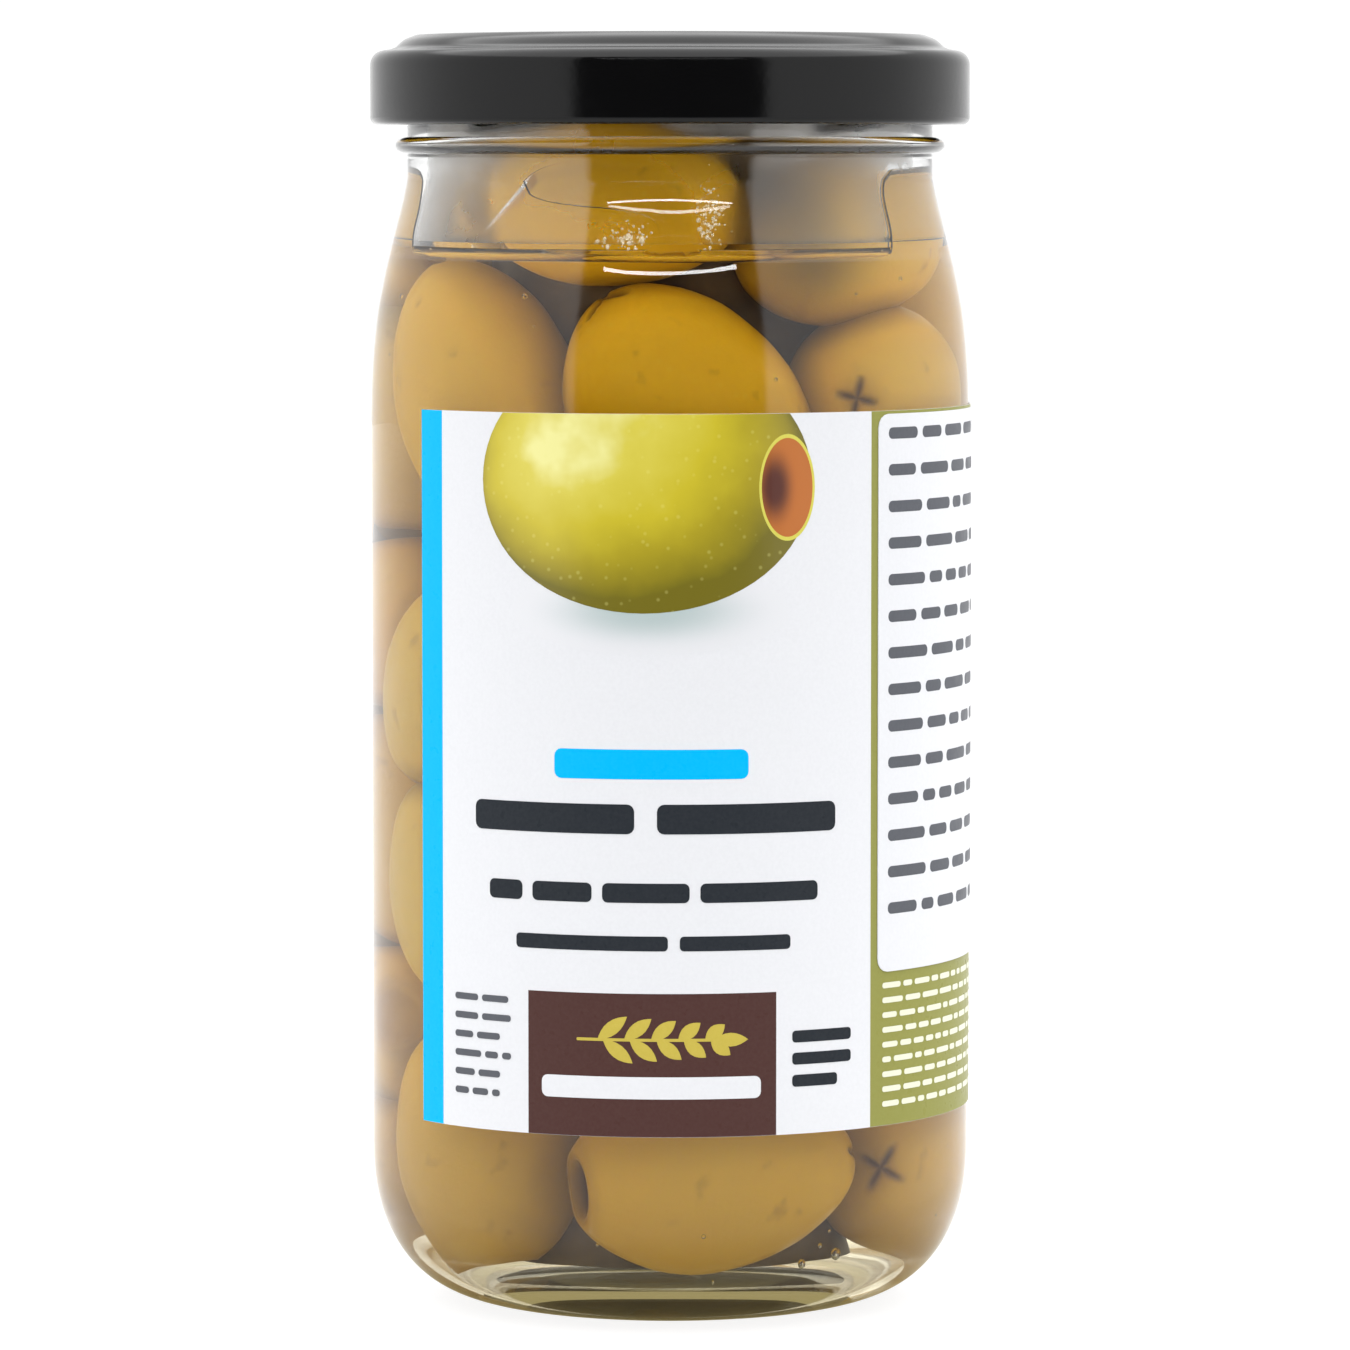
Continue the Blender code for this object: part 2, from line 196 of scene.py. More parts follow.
def finish_piece(
    form: BMesh, name: str, material: Material, nodes: Sequence[str], sharp: float = 40.0
) -> Object:
    """Makes a mesh into a piece of the jar.

    Args:
        form: The finished mesh, which is freed.
        name: The piece's name.
        material: Its finish.
        nodes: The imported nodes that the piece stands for.
        sharp: Angle past which an edge stays sharp.

    Returns:
        The piece, riding on the jar.
    """
    piece = plain_object(form, name)
    mesh = piece.data
    mesh.materials.append(material)
    mesh.shade_smooth()
    mesh.set_sharp_from_angle(angle=math.radians(sharp))
    bpy.context.scene.collection.objects.link(piece)
    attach(piece, BODY)
    for node in nodes:
        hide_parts(node)
    LOG.info("%s: %d faces", name, len(mesh.polygons))
    return piece


class Nodes:
    """One material's node tree, with short calls that add nodes and join them."""

    def __init__(self, name: str) -> None:
        """Starts a material.

        Args:
            name: The material's name.
        """
        self.material = bpy.data.materials.new(name)
        self.material.use_nodes = True
        self.tree = self.material.node_tree
        self.shader = self.tree.nodes["Principled BSDF"]

    def feed(self, socket: NodeSocket, value: object) -> None:
        """Joins a socket to another, or sets its plain value."""
        if isinstance(value, NodeSocket):
            self.tree.links.new(value, socket)
        elif isinstance(value, tuple) and len(value) == 3 and socket.type == "RGBA":
            socket.default_value = (*value, 1.0)
        else:
            socket.default_value = value

    def add(self, kind: str, sockets: dict, output: int | str = 0, **settings: object) -> NodeSocket:
        """Adds a node.

        Args:
            kind: The node's type, without its prefix.
            sockets: Values or sockets for its inputs.
            output: Which of its outputs to return.
            **settings: Values for its properties.

        Returns:
            The output's socket.
        """
        node = self.tree.nodes.new("ShaderNode" + kind)
        for name, value in settings.items():
            setattr(node, name, value)
        for name, value in sockets.items():
            self.feed(node.inputs[name], value)
        return node.outputs[output]

    def place(self) -> NodeSocket:
        """Gives the object coordinates."""
        return self.add("TexCoord", {}, "Object")

    def noise(self, scale: float, detail: float = 2.0, place: NodeSocket | None = None) -> NodeSocket:
        """Adds a noise texture, with its scale in cells for each metre."""
        sockets = {"Vector": place or self.place(), "Scale": scale, "Detail": detail}
        return self.add("TexNoise", sockets, "Fac")

    def calc(self, operation: str, first: object, second: object = 0.0) -> NodeSocket:
        """Adds a math node."""
        return self.add("Math", {0: first, 1: second}, operation=operation)

    def attribute(self, name: str) -> NodeSocket:
        """Reads a number kept on the mesh."""
        return self.add("Attribute", {}, "Fac", attribute_name=name)

    def spread(self, value: NodeSocket, low: float, high: float, to: Span = (0.0, 1.0)) -> NodeSocket:
        """Spreads a part of a range over another, clamped."""
        sockets = {"Value": value, "From Min": low, "From Max": high, "To Min": to[0], "To Max": to[1]}
        return self.add("MapRange", sockets)

    def mix(self, share: object, first: object, second: object) -> NodeSocket:
        """Mixes two colours."""
        return self.add("Mix", {0: share, 6: first, 7: second}, 2, data_type="RGBA")

    def ramp(self, share: NodeSocket, stops: Sequence[tuple[float, Colour]]) -> NodeSocket:
        """Adds a colour ramp."""
        colours = self.add("ValToRGB", {"Fac": share})
        elements = colours.node.color_ramp.elements
        for index, (position, colour) in enumerate(stops):
            element = elements[index] if index < 2 else elements.new(position)
            element.position = position
            element.color = (*colour, 1.0)
        return colours

    def bump(
        self, height: NodeSocket, depth: float, strength: float = 1.0, under: NodeSocket | None = None
    ) -> NodeSocket:
        """Turns a height into a normal, its depth in millimetres, over another bump where one is given."""
        sockets = {"Strength": strength, "Distance": depth * MM, "Height": height}
        if under:
            sockets["Normal"] = under
        return self.add("Bump", sockets, "Normal")

    def finish(self, values: dict) -> Material:
        """Sets the shader's inputs and gives the material."""
        for name, value in values.items():
            self.feed(self.shader.inputs[name], value)
        return self.material


@dataclass(frozen=True)
class ClearGlass:
    """Container glass, a little grey-green, with faint ripples from its mould."""

    name: str = "clear_glass"
    mirror: float = 1.0
    tint: Colour = (0.988, 0.996, 0.990)
    bend: float = 1.52
    ripple_scale: float = 55.0
    ripple_depth: float = 0.05

    def build(self) -> Material:
        """Makes the material."""
        nodes = Nodes(self.name)
        normal = nodes.bump(nodes.noise(self.ripple_scale, 1.0), self.ripple_depth)
        values = {"Base Color": self.tint, "Roughness": 0.0, "IOR": self.bend, "Transmission Weight": 1.0}
        return nodes.finish(values | {"Normal": normal, "Specular Tint": (self.mirror,) * 3})


@dataclass(frozen=True)
class ClearLiquid:
    """A liquid, or the air of a bubble in one, with its tint over distance, share of milk and any painted
    glow.
    """

    name: str
    bend: float
    tint: Colour = (1.0, 0.86, 0.42)
    density: float = 0.0
    mirror: float = 1.0
    milk: float = 0.0
    painted_glow: Colour = BLACK

    def build(self) -> Material:
        """Makes the material."""
        nodes = Nodes(self.name)
        if self.density:
            absorb = nodes.add("VolumeAbsorption", {"Color": self.tint, "Density": self.density})
            nodes.tree.links.new(absorb, nodes.tree.nodes["Material Output"].inputs["Volume"])
        values = {"Base Color": CLEAR, "Roughness": 0.0, "IOR": self.bend, "Emission Color": self.painted_glow}
        values |= {"Emission Strength": 1.0, "Specular Tint": (self.mirror,) * 3}
        return nodes.finish(values | {"Transmission Weight": 1.0 - self.milk})


@dataclass(frozen=True)
class OliveSkin:
    """Wet cured olive: golden green, mottled, brown where pitted and slit, with painted shade and a painted
    glow.
    """

    golden: Colour = (0.86, 0.465, 0.008)
    greener: Colour = (0.76, 0.560, 0.120)
    pale: Colour = (0.86, 0.570, 0.045)
    bruise: Colour = (0.24, 0.095, 0.022)
    dark: Colour = (0.060, 0.018, 0.006)
    # dark and shade set the painted shade, mixed in where the lit layer is low; the glow below is a painted
    # glow, the olive is no lamp.
    cut: Colour = (0.150, 0.055, 0.022)
    painted_glow: Colour = (0.205, 0.100, 0.0)
    shade: float = 0.82
    mottle_scale: float = 85.0
    cloud_scale: float = 38.0
    freckle_scale: float = 620.0
    spot_scale: float = 260.0
    pore_scale: float = 1500.0

    def build(self) -> Material:
        """Makes the material."""
        nodes = Nodes("olive_flesh")
        tone = nodes.attribute("tone")
        mottle = nodes.noise(self.mottle_scale, 3.0)
        share = nodes.calc("ADD", nodes.calc("MULTIPLY", tone, 0.9), nodes.calc("MULTIPLY", mottle, 0.3))
        colour = nodes.mix(nodes.spread(share, 0.12, 1.05), self.golden, self.greener)
        cloud = nodes.spread(nodes.noise(self.cloud_scale, 2.0), 0.52, 0.78, (0.0, 0.45))
        colour = nodes.mix(cloud, colour, self.pale)
        freckle = nodes.add("TexVoronoi", {"Vector": nodes.place(), "Scale": self.freckle_scale}, "Distance")
        colour = nodes.mix(nodes.spread(freckle, 0.10, 0.26, (0.34, 0.0)), colour, self.pale)
        spot = nodes.spread(nodes.noise(self.spot_scale, 4.0), 0.64, 0.74, (0.0, 0.35))
        colour = nodes.mix(spot, colour, self.bruise)
        colour = nodes.mix(nodes.attribute("bruise"), colour, self.bruise)
        colour = nodes.mix(nodes.attribute("cut"), colour, self.cut)
        pores = nodes.bump(nodes.noise(self.pore_scale, 3.0), 0.05, 0.7)
        # Painted shade: the colour goes towards dark where the lit layer is low. Painted glow: emission that
        # rises with the lit layer.
        colour = nodes.mix(nodes.attribute("lit"), nodes.mix(self.shade, colour, self.dark), colour)
        painted_glow = nodes.mix(nodes.attribute("lit"), BLACK, self.painted_glow)
        values = {"Base Color": colour, "Roughness": 0.30, "Specular IOR Level": 0.10, "Normal": pores}
        values |= {"Emission Color": painted_glow, "Emission Strength": 1.0}
        values |= {"Subsurface Weight": 0.12, "Subsurface Radius": (1.0, 0.5, 0.12)}
        return nodes.finish(values | {"Subsurface Scale": 0.0022})


@dataclass(frozen=True)
class ShadedFlesh:
    """The olives deep in the jar, painted dark brown as the shade between those in front."""

    dark: Colour = (0.055, 0.026, 0.006)
    light: Colour = (0.16, 0.085, 0.014)

    def build(self) -> Material:
        """Makes the material."""
        nodes = Nodes("shaded_flesh")
        share = nodes.spread(nodes.noise(120.0, 3.0), 0.35, 0.7)
        values = {"Base Color": nodes.mix(share, self.dark, self.light), "Roughness": 0.5}
        return nodes.finish(values | {"Normal": nodes.bump(nodes.noise(160.0, 3.0), 0.5)})


@dataclass(frozen=True)
class Lacquer:
    """Glossy black lacquer on tinplate, with a fine orange peel and faint rubbed marks."""

    colour: Colour = (0.0022, 0.0022, 0.0024)
    roughness: Span = (0.11, 0.18)
    mirror: float = 0.26

    def build(self) -> Material:
        """Makes the material."""
        nodes = Nodes("black_lacquer")
        rubbed = nodes.spread(nodes.noise(240.0, 4.0), 0.35, 0.7, self.roughness)
        peel = nodes.bump(nodes.noise(1100.0, 2.0), 0.012, 0.6)
        values = {"Base Color": self.colour, "Roughness": rubbed, "Normal": peel}
        return nodes.finish(values | {"Specular IOR Level": self.mirror})


@dataclass(frozen=True)
class CoatedPaper:
    """White coated paper, or ink on it: a soft gloss over fine fibres."""

    name: str
    colour: Colour
    gloss: float = 0.30
    mirror: float = 0.06

    def build(self) -> Material:
        """Makes the material."""
        nodes = Nodes(self.name)
        fibre = nodes.noise(2600.0, 4.0)
        lighter = tuple(min(1.0, part * 1.02 + 0.004) for part in self.colour)
        colour = nodes.mix(nodes.spread(fibre, 0.35, 0.65), self.colour, lighter)
        roughness = nodes.spread(nodes.noise(900.0, 3.0), 0.3, 0.7, (self.gloss - 0.04, self.gloss + 0.06))
        slack = nodes.bump(nodes.noise(70.0, 2.0), 0.02, 0.5)
        normal = nodes.bump(fibre, 0.006, 0.35, slack)
        values = {"Base Color": colour, "Roughness": roughness, "Normal": normal}
        return nodes.finish(values | {"Specular IOR Level": self.mirror})


@dataclass(frozen=True)
class PictureSkin:
    """The printed picture's skin: a ball's light and shade, worked out from the picture's UV map."""

    light: tuple[float, float, float] = (-0.34, 0.42, 0.84)

    def build(self) -> Material:
        """Makes the material."""
        nodes = Nodes("picture_skin")
        spot = nodes.add("Mapping", {0: nodes.add("UVMap", {}), 1: (-1.0, -1.0, 0.0), 3: (2.0, 2.0, 1.0)})
        parts = nodes.add("SeparateXYZ", {0: spot})
        across, up = parts, parts.node.outputs[1]
        flat = nodes.calc("ADD", nodes.calc("POWER", across, 2.0), nodes.calc("POWER", up, 2.0))
        out = nodes.calc("SQRT", nodes.calc("MAXIMUM", nodes.calc("SUBTRACT", 1.0, flat), 0.0))
        facing = nodes.add("CombineXYZ", {0: across, 1: up, 2: out})
        lit = nodes.add("VectorMath", {0: facing, 1: self.light}, 1, operation="DOT_PRODUCT")
        patches = nodes.spread(nodes.noise(150.0, 3.0), 0.3, 0.7, (-0.07, 0.07))
        stops = [(0.05, (0.15, 0.125, 0.006)), (0.45, (0.36, 0.29, 0.012)), (0.72, (0.53, 0.44, 0.022))]
        stops += [(0.90, (0.62, 0.54, 0.070)), (0.995, (0.76, 0.73, 0.28))]
        colour = nodes.ramp(nodes.calc("ADD", lit, patches), stops)
        freckle = nodes.add("TexVoronoi", {"Vector": nodes.place(), "Scale": 800.0}, "Distance")
        colour = nodes.mix(nodes.spread(freckle, 0.08, 0.22, (0.22, 0.0)), colour, (0.72, 0.70, 0.22))
        return nodes.finish({"Base Color": colour, "Roughness": 0.30})


@dataclass(frozen=True)
class PictureFade:
    """A printed oval that fades from one colour in its middle to another at its edge."""

    name: str
    inner: Colour
    outer: Colour
    shift: Span = (0.0, 0.0)
    hard: float = 0.0

    def build(self) -> Material:
        """Makes the material."""
        nodes = Nodes(self.name)
        move = (-1.0 + self.shift[0], -1.0 + self.shift[1], 0.0)
        spot = nodes.add("Mapping", {0: nodes.add("UVMap", {}), 1: move, 3: (2.0, 2.0, 1.0)})
        far = nodes.add("VectorMath", {0: spot}, 1, operation="LENGTH")
        reach = {"Value": far, "From Min": self.hard, "From Max": 1.0}
        share = nodes.add("MapRange", reach, interpolation_type="SMOOTHERSTEP")
        return nodes.finish({"Base Color": nodes.mix(share, self.inner, self.outer), "Roughness": 0.31})


Finish = CoatedPaper | PictureSkin | PictureFade


@dataclass
class JarGlass:
    """The blown jar: straight body, long shoulder, beaded neck with thread lugs, heel and foot."""

    body_radius: float = 33.25
    wall: float = 2.4
    neck_radius: float = 29.15
    neck_wall: float = 2.1
    floor: float = 5.0
    heel_top: float = 17.3
    heel_power: float = 2.3
    heel_width: float = 14.8
    inner_heel_width: float = 14.0
    foot_inner: float = 15.5
    dome: float = 1.5
    bead_height: float = 128.4
    bead_reach: float = 1.35
    bead_half: float = 0.95
    rim_top: float = 139.2
    rim_round: float = 1.0
    lug_starts: tuple[float, ...] = (-49.0, 32.0, 131.0, 221.0)
    lug_sweep: float = 64.0
    lug_low: float = 131.2
    lug_rise: float = 3.4
    lug_reach: float = 1.6
    lug_half: float = 1.0
    lug_row: float = 0.4
    lug_taper: float = 9.0
    brine_level: float = BRINE_LEVEL
    steps: int = 256

    @property
    def shoulder(self) -> Outline:
        """The shoulder's points, as radius at height, from the body up to the neck."""
        points = [(self.body_radius, 97.6), (33.1, 103.3), (32.6, 109.0), (31.95, 112.8)]
        return points + [(31.1, 116.6), (29.75, 121.9), (self.neck_radius, 124.8)]

    def heel(self, inner: bool, steps: int) -> Outline:
        """Runs round the heel from the straight body down to the foot.

        Args:
            inner: Whether it is the inside of the wall.
            steps: Number of short steps.

        Returns:
            The heel as radius and height.
        """
        width = self.inner_heel_width if inner else self.heel_width
        radius = self.body_radius - (self.wall if inner else 0.0)
        height = self.heel_top - (self.floor if inner else 0.0)
        points = []
        for turn in np.linspace(0, 0.5 * math.pi, steps + 1):
            across = max(math.cos(turn), 0.0) ** (2 / self.heel_power)
            down = math.sin(turn) ** (2 / self.heel_power)
            points.append((radius - width + width * across, self.heel_top - height * down))
        return points

    def inner_shoulder(self) -> Outline:
        """Gives the shoulder's inside, where the wall thins towards the neck."""
        points = []
        for index in (0, 2, 4, 6):
            radius, height = self.shoulder[index]
            points.append((radius - self.wall - (self.neck_wall - self.wall) * index / 6, height))
        return points

    def inner_wall(self) -> Outline:
        """Gives the finished inside of the glass, from its floor's middle to the neck."""
        flat = self.body_radius - self.wall - self.inner_heel_width
        floor = [(0.0, self.floor), (0.5 * flat, self.floor)]
        up = smoothed(self.inner_shoulder(), 8)
        return floor + self.heel(True, 24)[::-1] + up

    def wall_radius(self, height: float) -> float:
        """Finds the radius of the finished inside wall at a height."""
        wall = self.inner_wall()[2:]
        return float(np.interp(height, [point[1] for point in wall], [point[0] for point in wall]))

    def inside_radius(self, height: np.ndarray | float) -> np.ndarray | float:
        """Finds how wide the plain inside is at a height, as the olives were packed in it."""
        wall = self.heel(True, 3)[::-1] + self.inner_shoulder()
        wall += [(self.neck_radius - self.neck_wall, self.rim_top)]
        return np.interp(height, [point[1] for point in wall], [point[0] for point in wall])

    def outline(self) -> Outline:
        """Gives the section of the glass, from the inner floor's middle round to the dome under it."""
        inside = self.neck_radius - self.neck_wall
        rim_middle = self.rim_top - self.rim_round
        rim = arc((inside + self.rim_round, rim_middle), self.rim_round, self.rim_round, (180, 90), 6)
        outer_rim = (self.neck_radius - self.rim_round, rim_middle)
        rim += arc(outer_rim, self.rim_round, self.rim_round, (90, 0), 6)
        rows = np.arange(rim_middle - self.lug_row, self.lug_low - 4 * self.lug_row, -self.lug_row)
        neck = [(self.neck_radius, height) for height in rows]
        bead_middle = (self.neck_radius, self.bead_height)
        bead = arc(bead_middle, self.bead_reach, self.bead_half, (90, -90), 14)
        outside = smoothed(self.shoulder, 6)[::-1] + self.heel(False, 30)
        dome = [(self.foot_inner * share, self.dome * (1 - share**2)) for share in np.linspace(1, 0, 9)]
        return self.inner_wall() + rim + neck + bead + outside + dome

    def lug_height(self, angle: float, radius: float, height: float) -> float:
        """Gives how far a thread lug stands out of the neck at a point."""
        if radius < self.neck_radius - 0.1 or height < self.lug_low - 2 * self.lug_half:
            return 0.0
        most = 0.0
        for start in self.lug_starts:
            share = ((angle - start) % 360) / self.lug_sweep
            if share > 1:
                continue
            off = (height - self.lug_low - self.lug_rise * share) / self.lug_half
            ends = min(1.0, share * self.lug_taper, (1 - share) * self.lug_taper)
            most = max(most, self.lug_reach * math.exp(-(off**4)) * math.sin(0.5 * math.pi * ends))
        return most

    def build(self) -> None:
        """Turns the glass, gives its wetted inside a finish of its own and raises its thread lugs."""
        form = lathe(self.outline(), self.steps)
        for face in form.faces:
            middle = face.calc_center_median() / MM
            low = self.floor - 0.2 < middle.z < self.brine_level
            wet = low and middle.xy.length < self.body_radius - 0.7 * self.wall
            inward = face.normal.dot(Vector((middle.x, middle.y, 0.0))) < 0 or face.normal.z > 0.9
            face.material_index = int(wet and inward)
        relief(form, self.lug_height)
        shell = finish_piece(form, "jar_shell", ClearGlass().build(), ["jar_glass"], 60)
        shell.data.materials.append(ClearGlass("wetted_glass", WET_MIRROR).build())


@dataclass
class TwistLid:
    """The pressed lid: sunk panel with its safety button, raised ring, rounded edge, skirt and curl."""

    radius: float = 33.24
    top: float = 140.66
    foot: float = 130.7
    sheet: float = 0.5
    curl: float = 0.8
    panel_radius: float = 24.5
    panel_drop: float = 1.1
    button_radius: float = 9.0
    button_rise: float = 0.5
    steps: int = 200

    def top_outline(self) -> Outline:
        """Gives the lid's upper side from its middle out to the edge."""
        panel = self.top - self.panel_drop
        half_rise = 0.5 * self.button_rise
        button = arc((self.button_radius - 0.9, panel + half_rise), 0.9, half_rise, (90, 0), 4)
        rise = arc((self.panel_radius, panel + 0.35), 0.5, 0.35, (-90, 0), 4)
        crest = arc((self.panel_radius + 2.2, self.top - 0.7), 1.6, 0.7, (170, 80), 6)
        step = smoothed([(28.2, self.top - 0.08), (29.5, self.top - 0.62), (30.4, self.top - 1.42)], 4)
        ends = [(0.0, panel + self.button_rise)], [(self.button_radius + 0.4, panel)]
        return ends[0] + button + ends[1] + rise + crest + step

    def build(self) -> None:
        """Turns the lid."""
        panel = self.top - self.panel_drop
        edge = [(31.0, self.top - 1.66)] + arc((self.radius - 1.5, self.top - 3.4), 1.5, 1.6, (84, 0), 8)
        curl_middle = (self.radius - self.curl, self.foot + self.curl)
        curl = arc(curl_middle, self.curl, self.curl, (0, -190), 12)
        skirt = self.radius - self.sheet
        inside = [(skirt, self.foot + 2.6), (skirt, self.top - 3.6), (31.2, self.top - 2.35)]
        inside += [(30.2, self.top - 1.95), (29.0, self.top - 1.0), (self.panel_radius + 2.0, self.top - 0.6)]
        inside += [(self.panel_radius + 0.6, panel - 0.5), (0.0, panel - 0.5)]
        form = lathe(self.top_outline() + edge + curl + inside, self.steps)
        finish_piece(form, "twist_lid", Lacquer().build(), ["lid"], 50)


@dataclass
class Brine:
    """The brine up to its level, with the wet patches that hang between the top olives and the glass."""

    glass: JarGlass
    level: float = BRINE_LEVEL
    reach: float = 0.35
    climb: float = 1.8
    curve: float = 0.9
    curve_power: float = 0.8
    curve_steps: tuple[float, ...] = (
        0.02, 0.06, 0.13, 0.22, 0.35, 0.5, 0.7, 0.95, 1.25, 1.6, 2.0, 2.6, 3.4, 4.5, 6.0,
    )
    patch_depths: tuple[float, ...] = (0.35, 8.0, 8.0)
    wrap_radius: float = 28.2
    steps: int = 192

    def outline(self) -> Outline:
        """Gives the brine's section, a little way into the glass all round."""
        wall = [point for point in self.glass.inner_wall() if point[1] < self.level + 0.8 * self.climb]
        out = []
        for before, here, after in zip(wall[:1] + wall, wall, wall[1:] + wall[-1:]):
            along = Vector((after[0] - before[0], after[1] - before[1])).normalized()
            out.append((max(here[0] + along.y * self.reach, 0.0), here[1] - along.x * self.reach))
        out[0] = (0.0, self.glass.floor - self.reach)
        edge = self.glass.wall_radius(self.level + self.climb)
        out.append((edge + 0.6 * self.reach, self.level + 0.96 * self.climb))
        out.append((edge + 0.2 * self.reach, self.level + self.climb))
        for inward in self.curve_steps:
            fall = math.exp(-((inward / self.curve) ** self.curve_power))
            out.append((edge - inward, self.level + self.climb * fall))
        return out + [(0.0, self.level)]

    def wet_patch(self, shore: Outline, depth: float) -> Object:
        """Makes one wet patch between an olive and the glass, flared where it wets the glass.

        Args:
            shore: Points round it on the wall, as arc length from the front and height.
            depth: How far it reaches in from the wall.

        Returns:
            An object to join to the brine.
        """
        form = bmesh.new()
        loop = smoothed(shore[-2:] + shore + shore[:2], 5)[10:-10]
        verts = [form.verts.new((across, up, 0.0)) for across, up in loop]
        edges = [form.edges.new(pair) for pair in zip(verts, verts[1:] + verts[:1])]
        bmesh.ops.contextual_create(form, geom=edges)
        if form.faces[:][0].normal.z < 0:
            bmesh.ops.reverse_faces(form, faces=form.faces[:])
        pushed = bmesh.ops.extrude_face_region(form, geom=form.faces[:])["geom"]
        inner = [item for item in pushed if isinstance(item, BMFace)]
        bmesh.ops.translate(form, verts=inner[0].verts[:], vec=(0, 0, self.reach + 0.2))
        for inset, deeper in self.shore_steps(depth):
            bmesh.ops.inset_region(form, faces=inner, thickness=inset, depth=deeper, use_even_offset=True)
        cut_strips(form, 1.3, 0)
        cut_strips(form, 1.0, 1)
        wall = self.glass.inner_wall()[2:]
        heights, radii = [point[1] for point in wall], [point[0] for point in wall]
        for vert in form.verts:
            across, up, deep = vert.co
            radius = float(np.interp(up, heights, radii))
            angle = math.degrees(across / self.wrap_radius)
            vert.co = front_point(angle, radius + self.reach - 0.08 - deep, up) * MM
        bmesh.ops.recalc_face_normals(form, faces=form.faces)
        return plain_object(form, "patch")

    def shore_steps(self, depth: float) -> Outline:
        """Gives a patch's slope in from its shore: gentle in a thin film, steep at last in a deep one."""
        if depth < 1.0:
            return [(0.26, depth * share) for share in (0.10, 0.22, 0.28, 0.24, 0.16)]
        return [(0.34, 0.06), (0.28, 0.14), (0.20, 0.22), (0.13, 0.36), (0.06, 0.60), (0.03, depth)]

    @staticmethod
    def shores() -> list[Outline]:
        """Lists the wet patches' outlines: in front, with its neck down to the brine, and at both sides."""
        front = [(-16.9, 124.4), (-14.1, 126.1), (-9.3, 126.8), (-4.9, 126.7), (-2.1, 126.2), (0.0, 125.0)]
        front += [(1.6, 122.8), (2.0, 119.9), (2.4, 117.8), (3.6, 116.2), (5.6, 115.3), (5.2, 113.4)]
        front += [(-7.0, 113.4), (-7.6, 115.3), (-3.8, 116.1), (-1.7, 117.8), (-1.2, 119.4), (-2.4, 120.7)]
        front += [(-5.9, 121.4), (-9.5, 121.7), (-13.4, 122.2), (-15.9, 123.0)]
        right = [(24.6, 113.4), (24.3, 115.3), (26.0, 116.6), (26.7, 118.8), (26.7, 123.0), (28.2, 125.2)]
        right += [(32.0, 125.9), (52.0, 125.9), (70.0, 124.0), (76.0, 119.6), (76.0, 113.4)]
        left = [(-76.0, 113.4), (-76.0, 119.6), (-70.0, 124.0), (-52.0, 125.9), (-39.0, 125.9)]
        left += [(-35.6, 124.8), (-34.6, 121.8), (-34.5, 118.6), (-33.4, 116.4), (-31.8, 115.3)]
        left += [(-31.6, 113.4)]
        return [front, right, left]

    def build(self) -> None:
        """Turns the brine, joins its wet patches and puts it in the jar."""
        form = lathe(self.outline(), self.steps)
        body = plain_object(form, "brine_body")
        bpy.context.scene.collection.objects.link(body)
        holder = bpy.data.collections.new("wet_patches")
        bpy.context.scene.collection.children.link(holder)
        patches = [self.wet_patch(shore, deep) for shore, deep in zip(self.shores(), self.patch_depths)]
        for patch in patches:
            holder.objects.link(patch)
        union = body.modifiers.new("join", "BOOLEAN")
        union.operation = "UNION"
        union.operand_type = "COLLECTION"
        union.collection = holder
        graph = bpy.context.evaluated_depsgraph_get()
        form = bmesh.new()
        form.from_mesh(body.evaluated_get(graph).data)
        for thing in patches + [body]:
            bpy.data.objects.remove(thing, do_unlink=True)
        bpy.data.collections.remove(holder)
        material = ClearLiquid("brine", BRINE_BEND, density=16.0, mirror=WET_MIRROR).build()
        finish_piece(form, "brine", material, ["olives"], 70)


@dataclass(frozen=True)
class FineMist:
    """A film of drops too fine to see one by one, which blurs what is behind it."""

    bend: float = 1.33
    blur: float = 0.52
    mirror: float = 0.35

    def build(self) -> Material:
        """Makes the material."""
        nodes = Nodes("fine_mist")
        patchy = nodes.spread(nodes.noise(170.0, 4.0), 0.30, 0.62, (0.35, 1.0))
        rough = nodes.calc("MULTIPLY", nodes.attribute("mist"), nodes.calc("MULTIPLY", patchy, self.blur))
        values = {"Base Color": CLEAR, "Roughness": rough, "IOR": self.bend, "Transmission Weight": 1.0}
        return nodes.finish(values | {"Specular Tint": (self.mirror,) * 3})


